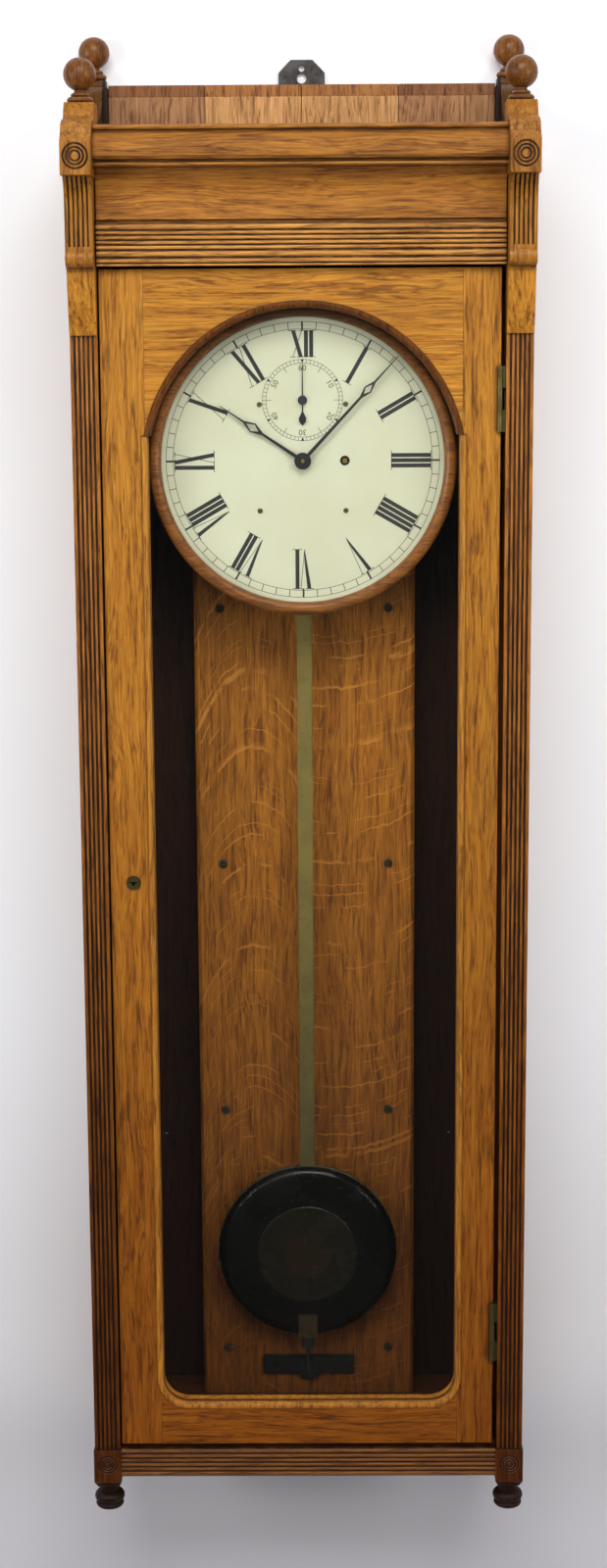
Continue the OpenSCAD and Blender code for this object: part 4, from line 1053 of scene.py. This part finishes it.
@dataclass
class Door:
    """The glazed door."""

    effects: Effects
    edge: float = 0.7 * MM

    def build(self) -> None:
        """Makes the frame, and dresses the glass and the metal."""
        rail = replace(OAK, grain=Grain.ACROSS)
        # The moulding's arch is darker above its limit, as grime and painted shade; its painted shade towards the
        # bottom is weaker than on other oak, and its rubbed edges lighter, as real rubbing and a painted highlight.
        moulding = StainedOakFinish(
            "oak", light=OAK.light, dark=OAK.dark, seed=35.2, dirt=1.0, groove=0.004, rub=0.55,
            deep=(0.80, 0.72, 0.62, 1.0), stains=(Stain(shade(150, 128, 110), "Z", -0.396),)
        )
        frames = [
            ("door_stile_left", replace(OAK, seed=31.1), "oak"),
            ("door_stile_right", replace(OAK, seed=32.4), "oak"),
            ("door_top_rail", replace(rail, seed=33.7, streak=120.0), "oak"),
            ("door_bottom_rail", replace(rail, seed=34.6), "oak"),
            ("door_moulding", moulding, "oak_fluted"),
        ]
        for node, finish, slot in frames:
            edge = 0.25 * MM if node == "door_moulding" else self.edge
            worked(node, replace(finish, name=f"{finish.name}_{node}").build(self.effects), edge)
            LOG.info("door: %s", node)
        dress("door_glass", GLASS.build(self.effects))
        old_brass = OLD_BRASS.build(self.effects)
        for node in ("door_hinge_leaves", "door_lock"):
            dress(node, old_brass)
        dress("lock_bolt", BRASS.build(self.effects))


@dataclass(frozen=True)
class Letter:
    """A letter of the numerals, in millimetres across and in shares of its height upwards.

    Attributes:
        width: Its width.
        strokes: Outlines of its strokes.
        above: Spans of the hairlines at its outer end.
        below: Spans of the hairlines at its inner end.
    """

    width: float
    strokes: tuple[Outline, ...]
    above: tuple[Point, ...]
    below: tuple[Point, ...] = ()


LETTERS = {
    "I": Letter(4.3, ([(0, 0), (4.3, 0), (4.3, 1), (0, 1)],), ((-2.9, 7.2),), ((-2.9, 7.2),)),
    "V": Letter(
        11.6,
        ([(0, 1), (4.3, 1), (7.51408, 0.28), (7.5, 0), (6.9, 0)], [(7.0, 0), (7.5, 0), (11.6, 1), (10.9, 1)]),
        ((-2.9, 6.3), (8.8, 13.4)),
    ),
    "X": Letter(
        12.4,
        ([(0, 1), (4.3, 1), (12.4, 0), (8.1, 0)], [(10.8, 1), (11.5, 1), (2.3, 0), (1.6, 0)]),
        ((-2.9, 6.3), (7.8, 13.6)),
        ((-1.2, 4.6), (6.1, 15.3)),
    ),
}


@dataclass
class Dial:
    """The painted dial with its printed track, numerals and seconds ring. Sizes are in millimetres.

    Attributes:
        track_out: Outer radius of the minute track.
        track_in: Inner radius of the minute track.
        numeral_out: Outer radius of the numerals.
        numeral_in: Inner radius of the numerals.
        twelve_in: Inner radius of the numeral over the seconds ring.
        gap: Gap between a numeral's letters.
        hair: Thickness of a hairline.
        seconds_rise: Centre of the seconds ring above the dial's centre.
        seconds_out: Outer radius of the seconds ring.
        seconds_in: Inner radius of the seconds ring.
        ink: Thickness of the print.
    """

    effects: Effects
    track_out: float = 146.2
    track_in: float = 138.6
    numeral_out: float = 136.9
    numeral_in: float = 94.7
    twelve_in: float = 109.4
    gap: float = 1.2
    hair: float = 0.7
    seconds_rise: float = 64.0
    seconds_out: float = 42.8
    seconds_in: float = 38.9
    ink: float = 0.08

    def __post_init__(self) -> None:
        """Finds the dial's centre and face."""
        low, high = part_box("dial_plate")
        self.centre = ((low.x + high.x) / 2, (low.z + high.z) / 2)
        self.face = low.y

    def ring(self, radius: float, thick: float, steps: int) -> list[Outline]:
        """Returns a circle line as short plates, about the origin."""
        outlines = []
        for i in range(steps):
            turns = [math.tau * (i + k) / steps for k in (0, 1)]
            rims = (radius - thick / 2, radius + thick / 2)
            corners = [(turns[0], rims[0]), (turns[1], rims[0]), (turns[1], rims[1]), (turns[0], rims[1])]
            outlines.append([(r * math.sin(t), r * math.cos(t)) for t, r in corners])
        return outlines

    def turned(self, outline: Outline, degrees: float) -> Outline:
        """Returns an outline turned clockwise about the origin."""
        s, c = math.sin(math.radians(degrees)), math.cos(math.radians(degrees))
        return [(x * c + z * s, z * c - x * s) for x, z in outline]

    def stroke(self, low: float, high: float, half: float) -> Outline:
        """Returns an upright stroke between two radii."""
        return [(-half, low), (half, low), (half, high), (-half, high)]

    def hairline(self, left: float, right: float, z: float) -> Outline:
        """Returns a level hairline."""
        half = self.hair / 2
        return [(left, z - half), (right, z - half), (right, z + half), (left, z + half)]

    def numeral(self, letters: str, low: float, high: float) -> list[Outline]:
        """Draws a numeral that stands upright and centred on the origin's line.

        Args:
            letters: The numeral.
            low: Its inner end.
            high: Its outer end.

        Returns:
            Its outlines.
        """
        drawn = [LETTERS[name] for name in letters]
        left = -(sum(letter.width + self.gap for letter in drawn) - self.gap) / 2
        strokes, above, below = [], [], []
        for letter in drawn:
            strokes += [[(left + x, low + (high - low) * share) for x, share in stroke] for stroke in letter.strokes]
            above += [self.hairline(left + a, left + b, high) for a, b in letter.above]
            below += [self.hairline(left + a, left + b, low) for a, b in letter.below]
            left += letter.width + self.gap
        return strokes + above + below

    def print_piece(self, name: str, outlines: list[Outline], rise: float, finish: PaintFinish) -> None:
        """Prints outlines on the dial.

        Args:
            name: The piece's name.
            outlines: Outlines in millimetres, about a centre.
            rise: That centre's height above the dial's centre.
            finish: The ink.
        """
        shape = bmesh.new()
        for outline in outlines:
            placed = [(self.centre[0] + x * MM, self.centre[1] + (z + rise) * MM) for x, z in outline]
            add_plate(shape, placed, self.face - self.ink * MM, self.face + self.ink * MM)
        piece = mesh_piece(name, shape, finish.build(self.effects))
        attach(piece, "case")
        LOG.info("dial: %s, %d strokes", name, len(outlines))

    def figure(self, text: str, degrees: float, radius: float, height: float) -> None:
        """Prints a small plain number on the seconds ring, its top outwards."""
        curve = bpy.data.curves.new(f"seconds_{text}", "FONT")
        curve.body = text
        curve.size = height * MM * 1.4
        curve.align_x = "CENTER"
        curve.align_y = "CENTER"
        curve.extrude = self.ink * MM / 2
        curve.resolution_u = 4
        letters = link(bpy.data.objects.new(f"seconds_{text}_curve", curve))
        turn = Matrix.Rotation(math.radians(degrees), 4, "Y")
        spot = Vector((self.centre[0], self.face, self.centre[1] + self.seconds_rise * MM))
        spot += turn @ Vector((0.0, 0.0, radius * MM))
        place = Matrix.Translation(spot) @ turn @ Matrix.Rotation(math.radians(90), 4, "X")
        bpy.context.view_layer.update()
        shape = bmesh.new()
        mesh = bpy.data.meshes.new_from_object(letters)
        shape.from_mesh(mesh)
        shape.transform(place)
        bpy.data.objects.remove(letters)
        piece = mesh_piece(f"seconds_{text}", shape, FAINT_INK.build(self.effects))
        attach(piece, "case")

    def build(self) -> None:
        """Paints the dial and prints it."""
        dress("dial_plate", DIAL_CREAM.build(self.effects))
        dress("dial_screws", OLD_BRASS.build(self.effects))
        numbers = ["XII", "I", "II", "III", "IIII", "V", "VI", "VII", "VIII", "IX", "X", "XI"]
        numerals = []
        for hour, letters in enumerate(numbers):
            low = self.twelve_in if hour == 0 else self.numeral_in
            numerals += [self.turned(o, hour * 30) for o in self.numeral(letters, low, self.numeral_out)]
        self.print_piece("hour_numerals", numerals, 0, INK)
        heavy = [self.stroke(self.track_in - 1.8, self.track_out, 1.0)] * 12
        self.print_piece("five_minute_marks", [self.turned(o, i * 30) for i, o in enumerate(heavy)], 0, INK)
        fine = self.ring(self.track_out, 0.6, 180) + self.ring(self.track_in, 0.6, 180)
        tick = self.stroke(self.track_in, self.track_out, 0.4)
        fine += [self.turned(tick, i * 6) for i in range(60) if i % 5]
        self.print_piece("minute_track", fine, 0, MINUTE_INK)
        second = self.ring(self.seconds_out, 0.45, 120) + self.ring(self.seconds_in, 0.45, 120)
        rung = self.stroke(self.seconds_in, self.seconds_out, 0.26)
        second += [self.turned(rung, i * 6) for i in range(60)]
        long_tick = self.stroke(self.seconds_in - 5.5, self.seconds_in, 0.28)
        second += [self.turned(long_tick, 30 + i * 60) for i in range(6)]
        self.print_piece("seconds_track", second, self.seconds_rise, FAINT_INK)
        mark = [(-1.7, self.seconds_out), (1.7, self.seconds_out), (0, self.seconds_in - 0.2)]
        self.print_piece("ten_second_marks", [self.turned(mark, i * 60) for i in range(6)], self.seconds_rise, INK)
        for i in range(6):
            self.figure(str(i * 10 or 60), i * 60, self.seconds_in - 5.2, 6.2)


@dataclass
class Movement:
    """The train, the motion work, the hands, the escapement and the drive."""

    effects: Effects

    def runs(self, steel: Material) -> None:
        """Makes a copy of the two runs of cable in place of the CAD node.

        Args:
            steel: The cable's material.
        """
        shape = bmesh.new()
        shape.from_mesh(frame["nodes"]["cable_runs"].data)
        cable = mesh_piece("cable_runs_rope", shape, steel)
        pulley_low, pulley_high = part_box("weight_pulley")
        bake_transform(cable)
        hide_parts("cable_runs")

    def winding_hole(self, black: Material) -> None:
        """Lines the dial's winding hole with a black bush, which also stands as painted shade inside the hole.

        Args:
            black: The bush's material.
        """
        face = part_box("dial_plate")[0].y
        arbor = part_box("winding_drum")
        middle = ((arbor[0].x + arbor[1].x) / 2, face, (arbor[0].z + arbor[1].z) / 2)
        # A black ring over most of the hole: a bush and painted shade.
        profile = [(3.7, -1.1), (5.2, -1.1), (5.2, 0.1), (4.9, 0.35), (4.1, 0.35), (3.7, 0.0), (3.7, -1.1)]
        bush = lathe([(r * MM, y * MM) for r, y in profile], middle, 48)
        bmesh.ops.remove_doubles(bush, verts=bush.verts, dist=1e-6)
        piece = mesh_piece("winding_hole_bush_and_shade", bush, black)
        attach(piece, "case")

    def build(self) -> None:
        """Dresses the metal."""
        brass = BRASS.build(self.effects)
        for node in (
            "front_plate", "back_plate", "plate_pillars", "great_wheel", "winding_drum", "centre_wheel",
            "third_wheel", "escape_wheel", "minute_wheel", "hour_wheel", "weight_pulley", "top_pulley",
        ):
            dress(node, brass)
        steel = STEEL.build(self.effects)
        for node in ("pallets", "suspension_spring", "cable_lead"):
            dress(node, steel)
        self.runs(steel)
        black = HAND_BLACK.build(self.effects)
        for node in ("hour_hand", "minute_hand", "seconds_hand"):
            worked(node, black, 0.15 * MM)
        worked("weight", IRON.build(self.effects), 1.5 * MM)
        self.winding_hole(black)
        LOG.info("movement dressed")


@dataclass
class Pendulum:
    """The gilt rod and the black bob."""

    effects: Effects

    def build(self) -> None:
        """Eases the rod's edges and polishes the bob."""
        worked("pendulum_rod", GILT.build(self.effects), 0.8 * MM)
        low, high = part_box("pendulum_bob")
        radius = (high.x - low.x) / 2
        black = replace(BOB_BLACK, centre=((low.x + high.x) / 2, high.z - radius), radius=radius)
        worked("pendulum_bob", black.build(self.effects), 0.5 * MM)
        LOG.info("pendulum dressed")


@dataclass
class Studio:
    """A pale wall and floor with painted shade and painted light, soft lights and the camera.

    Attributes:
        eye: The camera's place, in metres.
        lens: The camera's focal length for a 36 mm long side, in millimetres.
        pitch: How far the camera looks down, in radians.
        yaw: How far it looks to the right, in radians.
        roll: How far it leans, in radians.
    """

    eye: tuple[float, float, float] = (0.0171, -2.6883, -0.3263)
    lens: float = 53.84
    pitch: float = 0.17516
    yaw: float = -0.00726
    roll: float = -0.00588

    def camera(self) -> None:
        """Makes the camera at the photograph's viewing angle."""
        data = bpy.data.cameras.new("camera")
        data.sensor_width = 36.0
        data.lens = self.lens
        data.clip_end = 30.0
        camera = link(bpy.data.objects.new("camera", data))
        ahead = Vector((
            math.sin(self.yaw) * math.cos(self.pitch), math.cos(self.yaw) * math.cos(self.pitch), -math.sin(self.pitch)
        ))
        right = ahead.cross(Vector((0.0, 0.0, 1.0))).normalized()
        up = right.cross(ahead)
        level_right = math.cos(self.roll) * right + math.sin(self.roll) * up
        level_up = math.cos(self.roll) * up - math.sin(self.roll) * right
        turn = Matrix((level_right, level_up, -ahead)).transposed()
        camera.matrix_world = Matrix.Translation(Vector(self.eye)) @ turn.to_4x4()
        bpy.context.scene.camera = camera

    def light(
        self, name: str, place: Sequence[float], aim: Sequence[float], size: Sequence[float], watts: float
    ) -> None:
        """Makes one soft light.

        Args:
            name: The light's name.
            place: Its place, in metres.
            aim: The point that it faces.
            size: Its width and height, in metres.
            watts: Its power.
        """
        data = bpy.data.lights.new(name, "AREA")
        data.shape = "RECTANGLE"
        data.size, data.size_y = size
        data.energy = watts
        lamp = link(bpy.data.objects.new(name, data))
        lamp.location = place
        lamp.rotation_euler = (Vector(aim) - Vector(place)).to_track_quat("-Z", "Y").to_euler()

    def backdrop(self) -> None:
        """Makes the wall and the floor as one pale sheet, which is clear from behind, darker towards the bottom as
        painted shade and glowing above its lower part as painted light.
        """
        wall, floor, bend, half = 0.0015, -2.9, 0.25, 4.0
        outline = [(wall, 2.2)]
        outline += [
            (wall - bend + bend * math.cos(a), floor + bend - bend * math.sin(a))
            for a in [math.radians(9 * i) for i in range(11)]
        ]
        outline.append((-1.7, floor))
        shape = bmesh.new()
        rows = [[shape.verts.new((x, y, z)) for y, z in outline] for x in (-half, half)]
        for i in range(len(outline) - 1):
            shape.faces.new([rows[0][i], rows[0][i + 1], rows[1][i + 1], rows[1][i]])
        material, g, shader, position = new_material("pale_backdrop")
        grain = g.noise(position, (3.0, 3.0, 3.0), 2.0)
        height = g.add("SeparateXYZ", {0: position}).outputs["Z"]
        pale = g.mix(grain, shade(250, 250, 253), shade(253, 253, 254))
        # Painted shade: the sheet darkens towards the bottom.
        low = g.mix(g.band(height, -1.72, -1.45), shade(220, 217, 222), shade(250, 250, 253))
        g.feed(shader.inputs["Base Color"], g.mix(g.band(height, -1.5, -0.8), low, pale))
        # Painted light: the sheet glows above its lowest part, though it is no lamp.
        painted_glow = g.mix(g.band(height, -1.5, -1.0), (0.0, 0.0, 0.0, 1.0), (0.10, 0.115, 0.13, 1.0))
        g.feed(shader.inputs["Emission Color"], painted_glow)
        shader.inputs["Emission Strength"].default_value = 1.0
        shader.inputs["Roughness"].default_value = 0.9
        clear = g.add("BsdfTransparent")
        behind = g.add("NewGeometry").outputs["Backfacing"]
        joined = g.add("MixShader", {0: behind, 1: shader.outputs[0], 2: clear.outputs[0]})
        g.feed(material.node_tree.nodes["Material Output"].inputs["Surface"], joined.outputs[0])
        mesh = bpy.data.meshes.new("backdrop")
        shape.to_mesh(mesh)
        shape.free()
        mesh.materials.append(material)
        for face in mesh.polygons:
            face.use_smooth = True
        link(bpy.data.objects.new("backdrop", mesh))

    def build(self) -> None:
        """Makes the camera, the light and the backdrop."""
        self.camera()
        self.backdrop()
        self.light("key", (0.15, -2.9, 1.75), (0.0, 0.0, -0.45), (2.6, 1.4), 92.0)
        self.light("behind", (0.0, 3.0, -0.6), (0.0, 0.0, -0.8), (1.6, 1.6), 30.0)
        self.light("fill_left", (-2.8, -2.5, -0.3), (0.0, 0.0, -0.5), (1.4, 1.2), 44.0)
        self.light("fill_right", (2.8, -2.7, -0.3), (0.0, 0.0, -0.5), (1.4, 1.2), 40.0)
        world = bpy.data.worlds.new("studio")
        bpy.context.scene.world = world
        world.use_nodes = True
        world.node_tree.nodes["Background"].inputs["Color"].default_value = (0.92, 0.96, 1.0, 1.0)
        world.node_tree.nodes["Background"].inputs["Strength"].default_value = 0.04
        bpy.context.scene.view_settings.view_transform = "Standard"


def main() -> None:
    """Builds the clock's finishes and the studio."""
    logging.basicConfig(level=logging.INFO, format="%(message)s")
    effects = Effects()
    for part in (Studio(), Case(effects), Door(effects), Dial(effects), Movement(effects), Pendulum(effects)):
        part.build()


if __name__ == "__main__":
    main()
